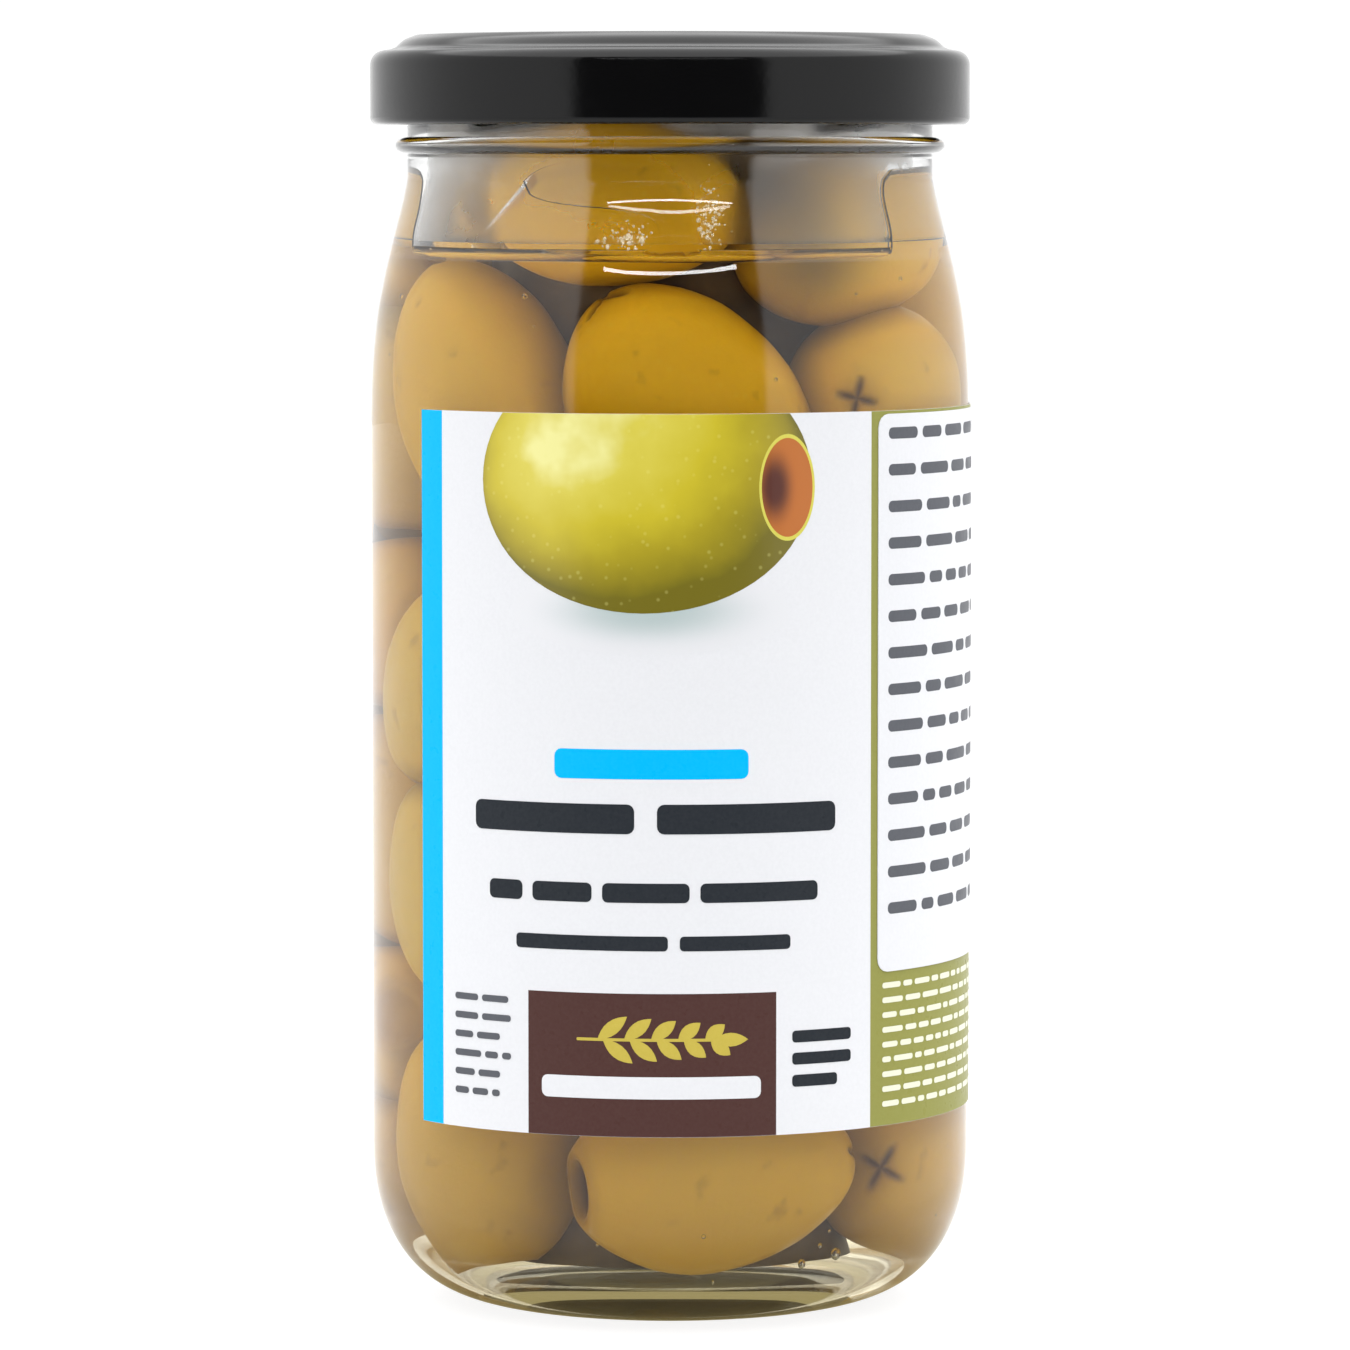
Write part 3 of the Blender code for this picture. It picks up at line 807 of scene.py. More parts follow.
@dataclass
class Mist:
    """The misted inside of the glass over the brine, clear where brine wets it, and its larger drops."""

    glass: JarGlass
    brine: Brine
    low: float = 117.0
    high: float = 138.0
    gap: float = 0.05
    film: float = 0.05
    steps: int = 240
    clusters: tuple[tuple[float, ...], ...] = ((-4.4, 118.3, 2.4, 1.2, 110), (4.2, 120.4, 1.5, 2.8, 130))
    drop_least: float = 0.07
    drop_most: float = 0.30
    seed: int = 21

    def outline(self) -> Outline:
        """Gives the film's section."""
        wall = [(radius, height) for radius, height in self.glass.inner_wall() if height > self.low]
        top = self.glass.neck_radius - self.glass.neck_wall
        wall += [(top, height) for height in np.linspace(126.0, self.high, 14)]
        outer = [(radius - self.gap, height) for radius, height in wall]
        inner = [(radius - self.gap - self.film, height) for radius, height in wall[::-1]]
        return outer + inner + outer[:1]

    def dryness(self, across: np.ndarray, up: np.ndarray) -> np.ndarray:
        """Finds how far each point on the wall lies outside the wet patches.

        Args:
            across: Arc length from the front.
            up: Height.

        Returns:
            0 in a patch and near its shore, 1 well off it.
        """
        dry = np.ones(len(across))
        for shore in self.brine.shores():
            loop = np.array(smoothed(shore[-2:] + shore + shore[:2], 4)[8:-8])
            ends = np.roll(loop, -1, axis=0)
            crosses = (loop[:, 1] > up[:, None]) != (ends[:, 1] > up[:, None])
            rise = np.where(ends[:, 1] == loop[:, 1], 1e-9, ends[:, 1] - loop[:, 1])
            meets = loop[:, 0] + (up[:, None] - loop[:, 1]) / rise * (ends[:, 0] - loop[:, 0])
            inside = (crosses & (across[:, None] < meets)).sum(axis=1) % 2 == 1
            distance = np.hypot(across[:, None] - loop[:, 0], up[:, None] - loop[:, 1]).min(axis=1)
            dry = np.minimum(dry, np.where(inside, 0.0, np.clip((distance - 0.35) / 0.8, 0.0, 1.0)))
        return dry

    def drops(self) -> None:
        """Scatters the larger drops beside the front patch."""
        draw = random.Random(self.seed)
        form = bmesh.new()
        for across, up, wide, tall, count in self.clusters:
            for _ in range(count):
                x, z = draw.gauss(across, wide / 1.6), draw.gauss(up, tall / 1.6)
                size = min(self.drop_most, self.drop_least + draw.expovariate(22.0))
                dry = self.dryness(np.array([x]), np.array([z]))[0]
                if dry < 0.3 or not self.low < z < self.high:
                    continue
                wall = float(self.glass.inside_radius(z)) - self.gap
                angle = math.degrees(x / self.brine.wrap_radius)
                place = Matrix.Translation(front_point(angle, wall - 0.15 * size, z) * MM)
                turn = Matrix.Rotation(math.radians(angle), 4, "Z")
                flat = Matrix.Diagonal((size, 0.45 * size, size * draw.uniform(0.8, 1.3), 1.0))
                ball = place @ turn @ flat @ Matrix.Scale(MM, 4)
                bmesh.ops.create_icosphere(form, subdivisions=2, radius=1.0, matrix=ball)
        # The drops' glow is a painted glow that brightens them; they are no lamp.
        water = ClearLiquid("drop_water", BRINE_BEND, milk=0.4, painted_glow=(0.15, 0.115, 0.06))
        finish_piece(form, "mist_drops", water.build(), ["olives"])

    def build(self) -> None:
        """Turns the film, marks where it is misted, and adds the drops."""
        form = lathe(self.outline(), self.steps)
        layer = form.verts.layers.float.new("mist")
        angles = np.array([math.atan2(vert.co.x, -vert.co.y) for vert in form.verts])
        heights = np.array([vert.co.z / MM for vert in form.verts])
        for vert, dry in zip(form.verts, self.dryness(angles * self.brine.wrap_radius, heights)):
            vert[layer] = dry
        finish_piece(form, "mist_film", FineMist().build(), ["olives"], 80)
        self.drops()


@dataclass(frozen=True)
class Olive:
    """Where one olive lies, how big and pale it is, and how much its pitting marks show."""

    middle: Vector
    axis: Vector
    half: float
    girth: float
    tone: float = 0.3
    marks: float = 1.0

    @staticmethod
    def leaning(
        angle: float, radius: float, height: float, lean: float, nod: float, half: float, girth: float
    ) -> "Olive":
        """Places an olive by its angle round the jar, its lean from upright and its nod outwards."""
        outward, sideways = front_point(angle, 1.0, 0.0), front_point(angle + 90, 1.0, 0.0)
        lean, nod = math.radians(lean), math.radians(nod)
        upright = math.cos(lean) * Vector((0, 0, 1)) + math.sin(lean) * sideways
        axis = math.cos(nod) * upright + math.sin(nod) * outward
        return Olive(outward * radius + Vector((0, 0, height)), axis, half, girth)


@dataclass
class OliveHeap:
    """The pitted olives: the ones that show, placed one by one, and those pushed in between them."""

    glass: JarGlass
    hidden: int = 20
    heights: tuple[float, float] = (16.0, 100.0)
    halves: tuple[float, float] = (13.0, 14.6)
    girths: tuple[float, float] = (9.2, 10.3)
    start_angle: float = 270.0
    golden_angle: float = 137.5
    radii: tuple[float, float] = (3.0, 19.0)
    lean: float = 70.0
    nod: float = 25.0
    seed: int = 3
    ceiling: float = 130.0
    rounds: int = 600
    gap: float = 0.3
    bluntness: float = 0.07
    unmarked: int = 1
    pit_radius: float = 2.9
    pit_depth: float = 6.5
    slit_length: float = 2.6
    slit_width: float = 0.42
    slit_depth: float = 0.6
    bruise_reach: float = 2.3
    lump: float = 0.26
    fine_lump: float = 0.05
    # These set the painted shade in the lit layer: darker by a neighbour, towards the foot, and in a nook
    # between the two top front olives.
    shade_reach: float = 3.2
    shade_touching: float = 0.45
    foot_light: float = 0.63
    body_light: float = 0.27
    top_light: float = 0.10
    nook: tuple[float, float, float] = (36.0, 14.0, 0.78)
    core_radius: float = 15.0
    core_heights: tuple[float, float] = (6.5, 121.0)
    layers: tuple[str, ...] = ("tone", "cut", "bruise", "lit")
    tones: tuple[float, ...] = (
        0.1, 0.45, 0.5, 0.5, 0.35, 0.05, 0.4, 0.9, 0.95, 0.8, 0.5, 0.35, 0.25, 0.2, 0.4,
    )

    def shown(self) -> list[Olive]:
        """Lists the olives that show, by angle, radius, height, lean, nod, half length and girth."""
        rows = [(-20, 17.0, 122.0, 92, 0, 14.0, 9.7), (66, 17.4, 117.9, 252, -4, 14.3, 9.5)]
        rows += [(-116, 17.3, 121.4, 94, 0, 13.2, 9.0), (160, 17.2, 121.0, 86, 0, 13.8, 9.2)]
        rows += [(-60, 20.4, 101.0, -26, 2, 14.6, 9.9), (5, 19.0, 99.0, -34, 4, 15.0, 11.2)]
        rows += [(69, 20.5, 100.6, -88, 20, 13.4, 9.2), (-67, 20.7, 69.4, 25, 0, 12.6, 9.6)]
        rows += [(-64, 20.7, 46.6, -20, 0, 13.4, 9.6), (-116, 20.3, 98.5, 4, 0, 13.8, 9.8)]
        rows += [(133, 20.3, 100.0, -6, 0, 13.8, 9.8), (-64, 20.1, 19.3, -6, 0, 13.8, 10.1)]
        rows += [(12, 19.4, 16.7, 84, 0, 14.6, 9.9), (88, 20.5, 16.4, -90, 3, 13.6, 9.7)]
        rows += [(176, 20.4, 16.4, 84, 0, 13.8, 9.6)]
        return [Olive.leaning(*row) for row in rows]

    def dropped_in(self) -> list[Olive]:
        """Drops the hidden olives in along a spiral, before they are pushed apart."""
        draw = random.Random(self.seed)
        olives = []
        for k in range(self.hidden):
            height = self.heights[0] + (self.heights[1] - self.heights[0]) * (k + 0.5) / self.hidden
            radius = self.radii[1] if k % 5 else self.radii[0]
            lean, nod = draw.uniform(-self.lean, self.lean), draw.uniform(-self.nod, self.nod)
            half, girth = draw.uniform(*self.halves), draw.uniform(*self.girths)
            angle = self.start_angle + self.golden_angle * k
            olives.append(Olive.leaning(angle, radius, height, lean, nod, half, girth))
        return olives

    def settled(self) -> list[Olive]:
        """Pushes the hidden olives apart, and off the glass, until they fit between the shown ones.

        Returns:
            All the olives, the shown ones first.
        """
        olives = self.shown() + self.dropped_in()
        middle = np.array([olive.middle for olive in olives])
        axis = np.array([olive.axis for olive in olives])
        half = np.array([olive.half for olive in olives])
        girth = np.array([olive.girth for olive in olives])
        free = np.arange(len(olives)) >= len(self.shown())
        along = np.linspace(-1, 1, 5)
        end_size = 0.62
        reach = (half - end_size * girth)[:, None] * along
        radii = (girth[:, None] * np.sqrt(1 - (math.sqrt(1 - end_size**2) * along) ** 2)).reshape(-1)
        owner = np.repeat(np.arange(len(olives)), len(along))
        same = owner[:, None] == owner[None]
        for step in range(self.rounds):
            balls = (middle[:, None] + axis[:, None] * reach[:, :, None]).reshape(-1, 3)
            apart = balls[:, None] - balls[None]
            distance = np.linalg.norm(apart, axis=2) + 1e-9
            overlap = np.maximum(radii[:, None] + radii[None] - distance, 0)
            overlap[same] = 0
            push = (apart * (overlap / distance)[:, :, None]).sum(1) * 0.5
            radius = np.maximum(np.hypot(balls[:, 0], balls[:, 1]), 1e-6)
            room = self.glass.inside_radius(balls[:, 2]) - self.gap
            push[:, :2] -= balls[:, :2] * (np.maximum(radius + radii - room, 0) / radius)[:, None]
            push[:, 2] += np.maximum(self.glass.floor + self.gap + radii - balls[:, 2], 0)
            push[:, 2] -= np.maximum(balls[:, 2] + radii - self.ceiling, 0)
            push = push.reshape(len(olives), len(along), 3)
            turn = np.cross(axis[:, None] * reach[:, :, None], push).mean(1) * 3 / half[:, None] ** 2
            middle[free] += np.clip(push.mean(1)[free] * 1.2, -1, 1)
            middle[free, 2] -= 0.02 * (1 - step / self.rounds)
            axis[free] += np.cross(turn[free], axis[free])
            axis /= np.linalg.norm(axis, axis=1, keepdims=True)
        tones = self.tones + tuple(0.25 + 0.5 * ((k * 0.618) % 1) for k in range(self.hidden))
        marks = [float(k != self.unmarked and k < len(self.shown())) for k in range(len(olives))]
        rows = zip(middle, axis, half, girth, tones, marks)
        placed = [Olive(Vector(m), Vector(a), float(h), float(g), *rest) for m, a, h, g, *rest in rows]
        return [self.cleared(olive) for olive in placed]

    def fillers(self) -> list[Olive]:
        """Lists two smaller olives that close gaps at the back left, by the same figures."""
        rows = [(-124, 21.2, 16.0, 84, 0, 12.0, 8.4), (-127, 20.3, 111.0, 86, 0, 11.0, 7.4)]
        return [replace(Olive.leaning(*row), marks=0.0) for row in rows]

    def cleared(self, olive: Olive) -> Olive:
        """Moves an olive in and up until its skin clears the glass and the floor."""
        turn = np.array(olive.axis.to_track_quat("Z", "Y").to_matrix())
        level, around = np.meshgrid(np.cos(np.linspace(0.1, 3.04, 13)), np.linspace(0, 2 * math.pi, 17))
        level, around = level.reshape(-1), around.reshape(-1)
        width = olive.girth * np.sqrt(1 - level**2) * (1 - self.bluntness * level)
        skin = (turn @ np.stack([width * np.cos(around), width * np.sin(around), olive.half * level])).T
        middle = olive.middle.copy()
        for _ in range(4):
            here = skin + np.array(middle)
            over = (np.hypot(here[:, 0], here[:, 1]) + self.gap - self.glass.inside_radius(here[:, 2])).max()
            under = self.glass.floor + self.gap - here[:, 2].min()
            inward = Vector((-middle.x, -middle.y, 0)).normalized()
            middle += inward * max(over, 0) + Vector((0, 0, max(under, 0)))
        return Olive(middle, olive.axis, olive.half, olive.girth, olive.tone, olive.marks)

    def openness(self, verts: list[BMVert], olive: Olive, olives: list[Olive]) -> np.ndarray:
        """Finds each point's share of painted light: painted shade by a neighbour, in the foot and in the top
        nook.

        Args:
            verts: The olive's points, in metres.
            olive: The olive itself.
            olives: All the olives.

        Returns:
            Shares of the painted light, one for each point.
        """
        points = np.array([vert.co for vert in verts]) / MM
        nearest = np.full(len(points), self.shade_reach)
        for other in olives:
            if (other.middle - olive.middle).length < 0.1:
                continue
            away = points - np.array(other.middle)
            along = away @ np.array(other.axis)
            across = np.sqrt(np.maximum((away**2).sum(axis=1) - along**2, 0.0))
            gap = (np.hypot(along / other.half, across / other.girth) - 1) * other.girth
            nearest = np.minimum(nearest, np.maximum(gap, 0.0))
        touching = self.shade_touching + (1 - self.shade_touching) * nearest / self.shade_reach
        body = np.clip((points[:, 2] - 12.0) / 18.0, 0.0, 1.0)
        top = np.clip((points[:, 2] - 106.0) / 8.0, 0.0, 1.0)
        turns = np.degrees(np.arctan2(points[:, 0], -points[:, 1]))
        # A painted shadow in the top nook, at a given angle round the jar.
        middle, width, most = self.nook
        nook = most * top * np.exp(-(((turns - middle) / width) ** 2))
        return touching * (self.foot_light + self.body_light * body + self.top_light * top) * (1.0 - nook)

    def grow(
        self, form: BMesh, olive: Olive, olives: list[Olive], sides: int, rings: int, draw: random.Random
    ) -> None:
        """Adds one olive to a mesh: a blunt ball, its pit's hole at one end and a slit cross at the other.

        Args:
            form: The mesh to add to, with its tone, cut, bruise and lit layers, the last holding painted
                light.
            olive: Where it lies and its size.
            olives: All the olives, whose painted shade falls on it.
            sides: Facets round it.
            rings: Rings along it, a multiple of 8.
            draw: Source of its small differences.
        """
        layers = [form.verts.layers.float[name] for name in self.layers]
        verts = bmesh.ops.create_uvsphere(form, u_segments=sides, v_segments=rings, radius=1.0)["verts"]
        turn = olive.axis.to_track_quat("Z", "Y").to_matrix()
        offset = Vector([draw.uniform(-50, 50) for _ in range(3)])
        tone = olive.tone + draw.uniform(-0.08, 0.08)
        arms, twist = draw.choice((3, 4)), draw.uniform(0, math.pi)
        mouth = math.pi / 8
        shares = (0.0, 0.2, 0.4, 0.6, 0.8, 1.0)
        edge = olive.girth * (1 + self.bluntness * math.cos(mouth)) * math.sin(mouth)
        pit = [self.pit_radius * share for share in (0.0, 0.75, 0.94, 0.97, 1.10)] + [edge]
        depth = self.pit_depth * (0.3 + 0.7 * olive.marks)
        deep = [depth * share for share in (1.0, 0.95, 0.7, 0.22, 0.01)] + [0.0]
        for vert in verts:
            point = vert.co.copy()
            width = olive.girth * (1 - self.bluntness * point.z)
            from_pit = math.acos(max(-1.0, min(1.0, -point.z)))
            around = math.atan2(point.y, point.x)
            cut = bruise = 0.0
            if from_pit < mouth - 1e-4:
                radius = float(np.interp(from_pit / mouth, shares, pit))
                level = float(np.interp(from_pit / mouth, shares, deep)) - olive.half * math.cos(mouth)
                spot = Vector((radius * math.cos(around), radius * math.sin(around), level))
                cut = olive.marks * (1.0 if from_pit < 0.7 * mouth else 0.25)
                bruise = 0.6
            else:
                lump = self.lump * noise.noise(point * 1.7 + offset)
                lump += self.fine_lump * noise.noise(point * 6 + offset)
                spot = Vector((point.x * width, point.y * width, point.z * olive.half))
                spot *= 1 + lump / olive.girth
                far = math.hypot(spot.x, spot.y)
                if point.z > 0.5:
                    nearest = (around - twist + math.pi / arms) % (2 * math.pi / arms) - math.pi / arms
                    along = max(0.0, 1 - far * math.cos(nearest) / (self.slit_length + offset.x * 0.012))
                    across = math.exp(-((far * math.sin(nearest) / self.slit_width) ** 2))
                    cut = olive.marks * across * min(1.0, along * 2.5)
                    bruise = 0.75 * olive.marks * math.exp(-((far / self.bruise_reach) ** 2))
                    spot.z -= self.slit_depth * cut
                bruise = max(bruise, 0.5 * math.exp(-(((from_pit - mouth) / 0.10) ** 2)))
            place = turn @ spot + olive.middle
            # Painted shade: the lit layer falls off deeper in the jar, away from the glass, and in the cuts.
            near = place.xy.length / float(self.glass.inside_radius(place.z))
            lit = min(1.0, max(0.0, (near - 0.42) / 0.45)) * (1.0 - 0.8 * cut)
            for layer, value in zip(layers, (tone, cut, bruise, lit)):
                vert[layer] = value
            vert.co = place * MM
        # Painted shade from the neighbours, towards the foot and in the top nook.
        for vert, share in zip(verts, self.openness(verts, olive, olives)):
            vert[layers[-1]] *= share

    def build(self) -> None:
        """Makes the olives that show, finely, and the ones behind them with fewer faces."""
        material = OliveSkin().build()
        draw = random.Random(self.seed + 1)
        olives = self.settled() + [self.cleared(olive) for olive in self.fillers()]
        count = len(self.shown())
        kinds = (("olives_seen", olives[:count], 64, 40), ("olives_within", olives[count:], 40, 24))
        for name, group, sides, rings in kinds:
            form = bmesh.new()
            for layer in self.layers:
                form.verts.layers.float.new(layer)
            for olive in group:
                self.grow(form, olive, olives, sides, rings, draw)
            finish_piece(form, name, material, ["olives"], 80)
        self.core()

    def core(self) -> None:
        """Makes the lumpy core that stands for the olives in the middle, painted dark as their shade."""
        form = bmesh.new()
        low, high = self.core_heights
        size = {"radius1": self.core_radius, "radius2": self.core_radius, "depth": high - low}
        bmesh.ops.create_cone(form, cap_ends=True, segments=48, **size)
        bmesh.ops.translate(form, verts=form.verts, vec=(0, 0, (low + high) / 2))
        for height in range(math.ceil(low) + 1, math.floor(high), 3):
            geom = form.verts[:] + form.edges[:] + form.faces[:]
            bmesh.ops.bisect_plane(form, geom=geom, plane_co=(0, 0, height), plane_no=(0, 0, 1))
        for vert in form.verts:
            swell = 1 + 0.09 * noise.noise(vert.co / 7)
            vert.co = Vector((vert.co.x * swell, vert.co.y * swell, vert.co.z)) * MM
        finish_piece(form, "olive_core", ShadedFlesh().build(), ["olives"], 80)


@dataclass
class Bubbles:
    """Small air bubbles held against the glass inside the brine."""

    glass: JarGlass
    level: float = BRINE_LEVEL
    gap: float = 0.25
    count: int = 34
    seed: int = 11

    def build(self) -> None:
        """Makes the bubbles: four that the photo shows, and others low and high in the brine."""
        draw = random.Random(self.seed)
        air = bmesh.new()
        near = [(30.8, 7.9, 0.42), (39.0, 8.6, 0.55), (33.5, 9.6, 0.25), (-31.0, 112.0, 0.35)]
        for _ in range(self.count):
            low = draw.random() < 0.5
            height = draw.uniform(6.5, 12.0) if low else draw.uniform(101.0, self.level - 1.2)
            near.append((draw.uniform(-180, 180), height, draw.uniform(0.12, 0.32)))
        for angle, height, size in near:
            middle = front_point(angle, self.glass.wall_radius(height) - size - self.gap, height)
            place = Matrix.Translation(middle * MM)
            bmesh.ops.create_icosphere(air, subdivisions=2, radius=size * MM, matrix=place)
        finish_piece(air, "bubbles", ClearLiquid("bubble_air", AIR_BEND).build(), ["olives"])


class Printer:
    """One ink's shapes, laid out flat in millimetres of arc and height, then bent round the jar."""

    wrap_radius = 33.4
    strip = 1.4

    def __init__(self) -> None:
        """Starts an empty layout."""
        self.form = bmesh.new()

    @classmethod
    def at(cls, angle: float) -> float:
        """Gives the arc length at an angle round the jar."""
        return math.radians(angle) * cls.wrap_radius

    def block(self, left: float, right: float, low: float, high: float, corner: float = 0.0) -> None:
        """Adds a rectangle, with round corners where it has a corner radius."""
        made = bmesh.ops.create_grid(self.form, x_segments=1, y_segments=1, size=1.0)["verts"]
        size = Matrix.Diagonal(((right - left) / 2, (high - low) / 2, 1.0, 1.0))
        move = Matrix.Translation(((left + right) / 2, (low + high) / 2, 0.0))
        bmesh.ops.transform(self.form, matrix=move @ size, verts=made)
        if corner:
            bmesh.ops.bevel(
                self.form, geom=made, offset=corner, segments=4, profile=0.5, affect="VERTICES", material=-1
            )

    def oval(self, middle: Span, reach: float, rise: float, top: float | None = None) -> None:
        """Adds an ellipse, cut off level at a top height where one is given."""
        made = bmesh.ops.create_circle(self.form, cap_ends=True, segments=72, radius=1.0)["verts"]
        place = Matrix.Translation((*middle, 0.0)) @ Matrix.Diagonal((reach, rise, 1.0, 1.0))
        bmesh.ops.transform(self.form, matrix=place, verts=made)
        if top is not None:
            faces = {face for vert in made for face in vert.link_faces}
            edges = {edge for vert in made for edge in vert.link_edges}
            cut = {"plane_co": (0, top, 0), "plane_no": (0, 1, 0), "clear_outer": True}
            bmesh.ops.bisect_plane(self.form, geom=made + list(edges) + list(faces), **cut)

    def leaf(self, base: Span, tilt: float, length: float, width: float) -> None:
        """Adds a pointed leaf that grows from its base at a tilt."""
        made = bmesh.ops.create_circle(self.form, cap_ends=True, segments=20, radius=1.0)["verts"]
        for vert in made:
            vert.co = ((vert.co.x + 1) * length / 2, vert.co.y * abs(vert.co.y) * width / 2, 0.0)
        place = Matrix.Translation((*base, 0.0)) @ Matrix.Rotation(math.radians(tilt), 4, "Z")
        bmesh.ops.transform(self.form, matrix=place, verts=made)

    def words(self, left: float, right: float, middle: float, height: float, draw: random.Random) -> None:
        """Fills a row with word-long bars with gaps between them."""
        here = left
        while here < right - 1.2 * height:
            long = min(draw.uniform(2.0, 5.6) * height, right - here)
            self.block(here, here + long, middle - height / 2, middle + height / 2, 0.45 * height)
            here += long + 0.75 * height

    def wrapped(self, radius: float, thickness: float, mapped: Oval | None = None) -> BMesh:
        """Cuts the layout into narrow strips, thickens it and bends it round the jar.

        Args:
            radius: Radius of its inner side.
            thickness: How thick it is.
            mapped: Middle, half width and half height of an oval to map, where it needs a UV map.

        Returns:
            The bent mesh, in metres.
        """
        form = self.form
        cut_strips(form, self.strip, 0)
        pushed = bmesh.ops.extrude_face_region(form, geom=form.faces[:])["geom"]
        bmesh.ops.translate(form, verts=[v for v in pushed if isinstance(v, BMVert)], vec=(0, 0, thickness))
        if mapped:
            layer = form.loops.layers.uv.new("UVMap")
            for face in form.faces:
                for loop in face.loops:
                    x = (loop.vert.co.x - mapped[0]) / mapped[2]
                    y = (loop.vert.co.y - mapped[1]) / mapped[3]
                    loop[layer].uv = (x / 2 + 0.5, y / 2 + 0.5)
        for vert in form.verts:
            angle = math.degrees(vert.co.x / self.wrap_radius)
            vert.co = front_point(angle, radius + vert.co.z, vert.co.y) * MM
        bmesh.ops.recalc_face_normals(form, faces=form.faces)
        return form


@dataclass
class Label:
    """The wrap-round label: white and green fields, a stripe, a picture of an olive and plain bars."""

    start: float = -53.8
    end: float = 248.0
    low: float = 22.08
    high: float = 99.85
    corner: float = 1.2
    inner: float = 33.30
    paper: float = 0.12
    ink: float = 0.012
    stripe_end: float = -47.6
    green_start: float = 40.55
    brown: tuple[float, float, float] = (-27.2, 20.0, 37.6)
    trim: float = 0.02
    picture: Oval = (-2.9, 92.6, 18.7, 14.1)
    picture_hole: Oval = (12.9, 91.9, 2.95, 5.3)
    seed: int = 5

    def lift(self, layer: int) -> float:
        """Gives the inner radius of the print's layer, sunk a little into what it lies on."""
        return self.inner + self.paper - 0.004 + 0.008 * layer

    def lay(self, shapes: Printer, name: str, finish: Finish, layer: int, mapped: Oval | None = None) -> None:
        """Bends one ink's shapes on to the label, as a piece.

        Args:
            shapes: The shapes, laid out flat.
            name: The piece's name.
            finish: Its finish.
            layer: How many inks it lies on.
            mapped: The oval that its UV map follows, where it needs one.
        """
        form = shapes.wrapped(self.lift(layer), self.ink, mapped)
        finish_piece(form, name, finish.build(), ["label"])

    def fields(self) -> None:
        """Prints the stripe, the green field and the brown block."""
        at = Printer.at
        low, high = self.low + self.trim, self.high - self.trim
        fields = [("sky_stripe", "sky_ink", Ink.SKY, at(self.start) + self.trim, at(self.stripe_end), high)]
        far = at(self.end) - self.trim
        fields += [("green_field", "green_ink", Ink.LEAF_GREEN, at(self.green_start), far, high)]
        left, right, top = self.brown
        fields += [("brown_block", "brown_ink", Ink.BROWN, at(left), at(right), top)]
        for name, ink_name, ink, left, right, top in fields:
            field = Printer()
            field.block(left, right, low, top)
            self.lay(field, name, CoatedPaper(ink_name, ink.value), 0)

    def olive_picture(self) -> None:
        """Prints the olive, its hole and its soft shadow."""
        x, y, reach, rise = self.picture
        shade, skin, rim, pit = (Printer() for _ in range(4))
        spot = (x + 0.6, y - rise + 0.2, 15.5, 4.6)
        shade.oval(spot[:2], spot[2], spot[3])
        fade = PictureFade("picture_shade", (0.42, 0.50, 0.50), Ink.WHITE.value, hard=0.05)
        self.lay(shade, "picture_shade", fade, 0, spot)
        skin.oval((x, y), reach, rise, self.high - 0.03)
        self.lay(skin, "picture_olive", PictureSkin(), 1, self.picture)
        hole = self.picture_hole
        rim.oval(hole[:2], hole[2] + 0.28, hole[3] + 0.42)
        self.lay(rim, "picture_rim", CoatedPaper("rim_ink", (0.60, 0.56, 0.10)), 2, hole)
        pit.oval(hole[:2], hole[2], hole[3])
        fade = PictureFade("picture_pit", (0.075, 0.012, 0.004), (0.44, 0.125, 0.012), (0.5, 0.0), 0.15)
        self.lay(pit, "picture_pit", fade, 3, hole)

    def print_bars(self) -> None:
        """Prints the plain bars that stand where the label's rows of print are."""
        draw = random.Random(self.seed)
        sky, dark, grey, pale, white = (Printer() for _ in range(5))
        at = Printer.at
        sky.block(at(-21.8), at(14.6), 60.7, 63.9, 0.8)
        for left, right in ((-38.9, -6.6), (-2.4, 32.2)):
            dark.block(at(left), at(right), 54.8, 58.0, 0.8)
        for left, right in ((-35.6, -28.4), (-26.3, -14.6), (-12.6, 3.6), (5.6, 28.4)):
            dark.block(at(left), at(right), 47.4, 49.5, 0.6)
        for left, right in ((-29.7, -0.4), (1.8, 22.8)):
            dark.block(at(left), at(right), 42.2, 43.8, 0.45)
        for row in range(6):
            grey.words(at(-44.2), at(-30.0 + draw.uniform(-3.5, 0.5)), 36.4 - 2.05 * row, 0.72, draw)
        for row in range(3):
            dark.block(at(23.2), at(35.8 - 3.1 * (row == 2)), 32.0 - 2.4 * row, 33.3 - 2.4 * row, 0.4)
        for row in range(9):
            pale.words(at(43.6), at(126.0), 37.4 - 1.62 * row, 0.62, draw)
        for side, top in ((136.0, 94.0), (192.0, 94.0)):
            for row in range(18):
                pale.words(at(side), at(side + draw.uniform(42, 47)), top - 2.5 * row, 0.95, draw)
        white.block(at(-24.4), at(17.0), 26.2, 28.6, 0.7)
        white.block(at(138.0), at(182.0), 26.6, 46.0, 0.9)
        for row in range(7):
            grey.words(at(140.4), at(166.0), 43.6 - 2.45 * row, 0.8, draw)
            grey.words(at(171.0), at(179.6), 43.6 - 2.45 * row, 0.8, draw)
        rows = (("print_sky", sky, Ink.SKY), ("print_dark", dark, Ink.DARK), ("print_pale", pale, Ink.PALE))
        rows += (("print_white", white, Ink.WHITE), ("print_grey", grey, Ink.GREY))
        for level, (name, layer, ink) in enumerate(rows, 1):
            self.lay(layer, name, CoatedPaper(name, ink.value), min(level, 3))

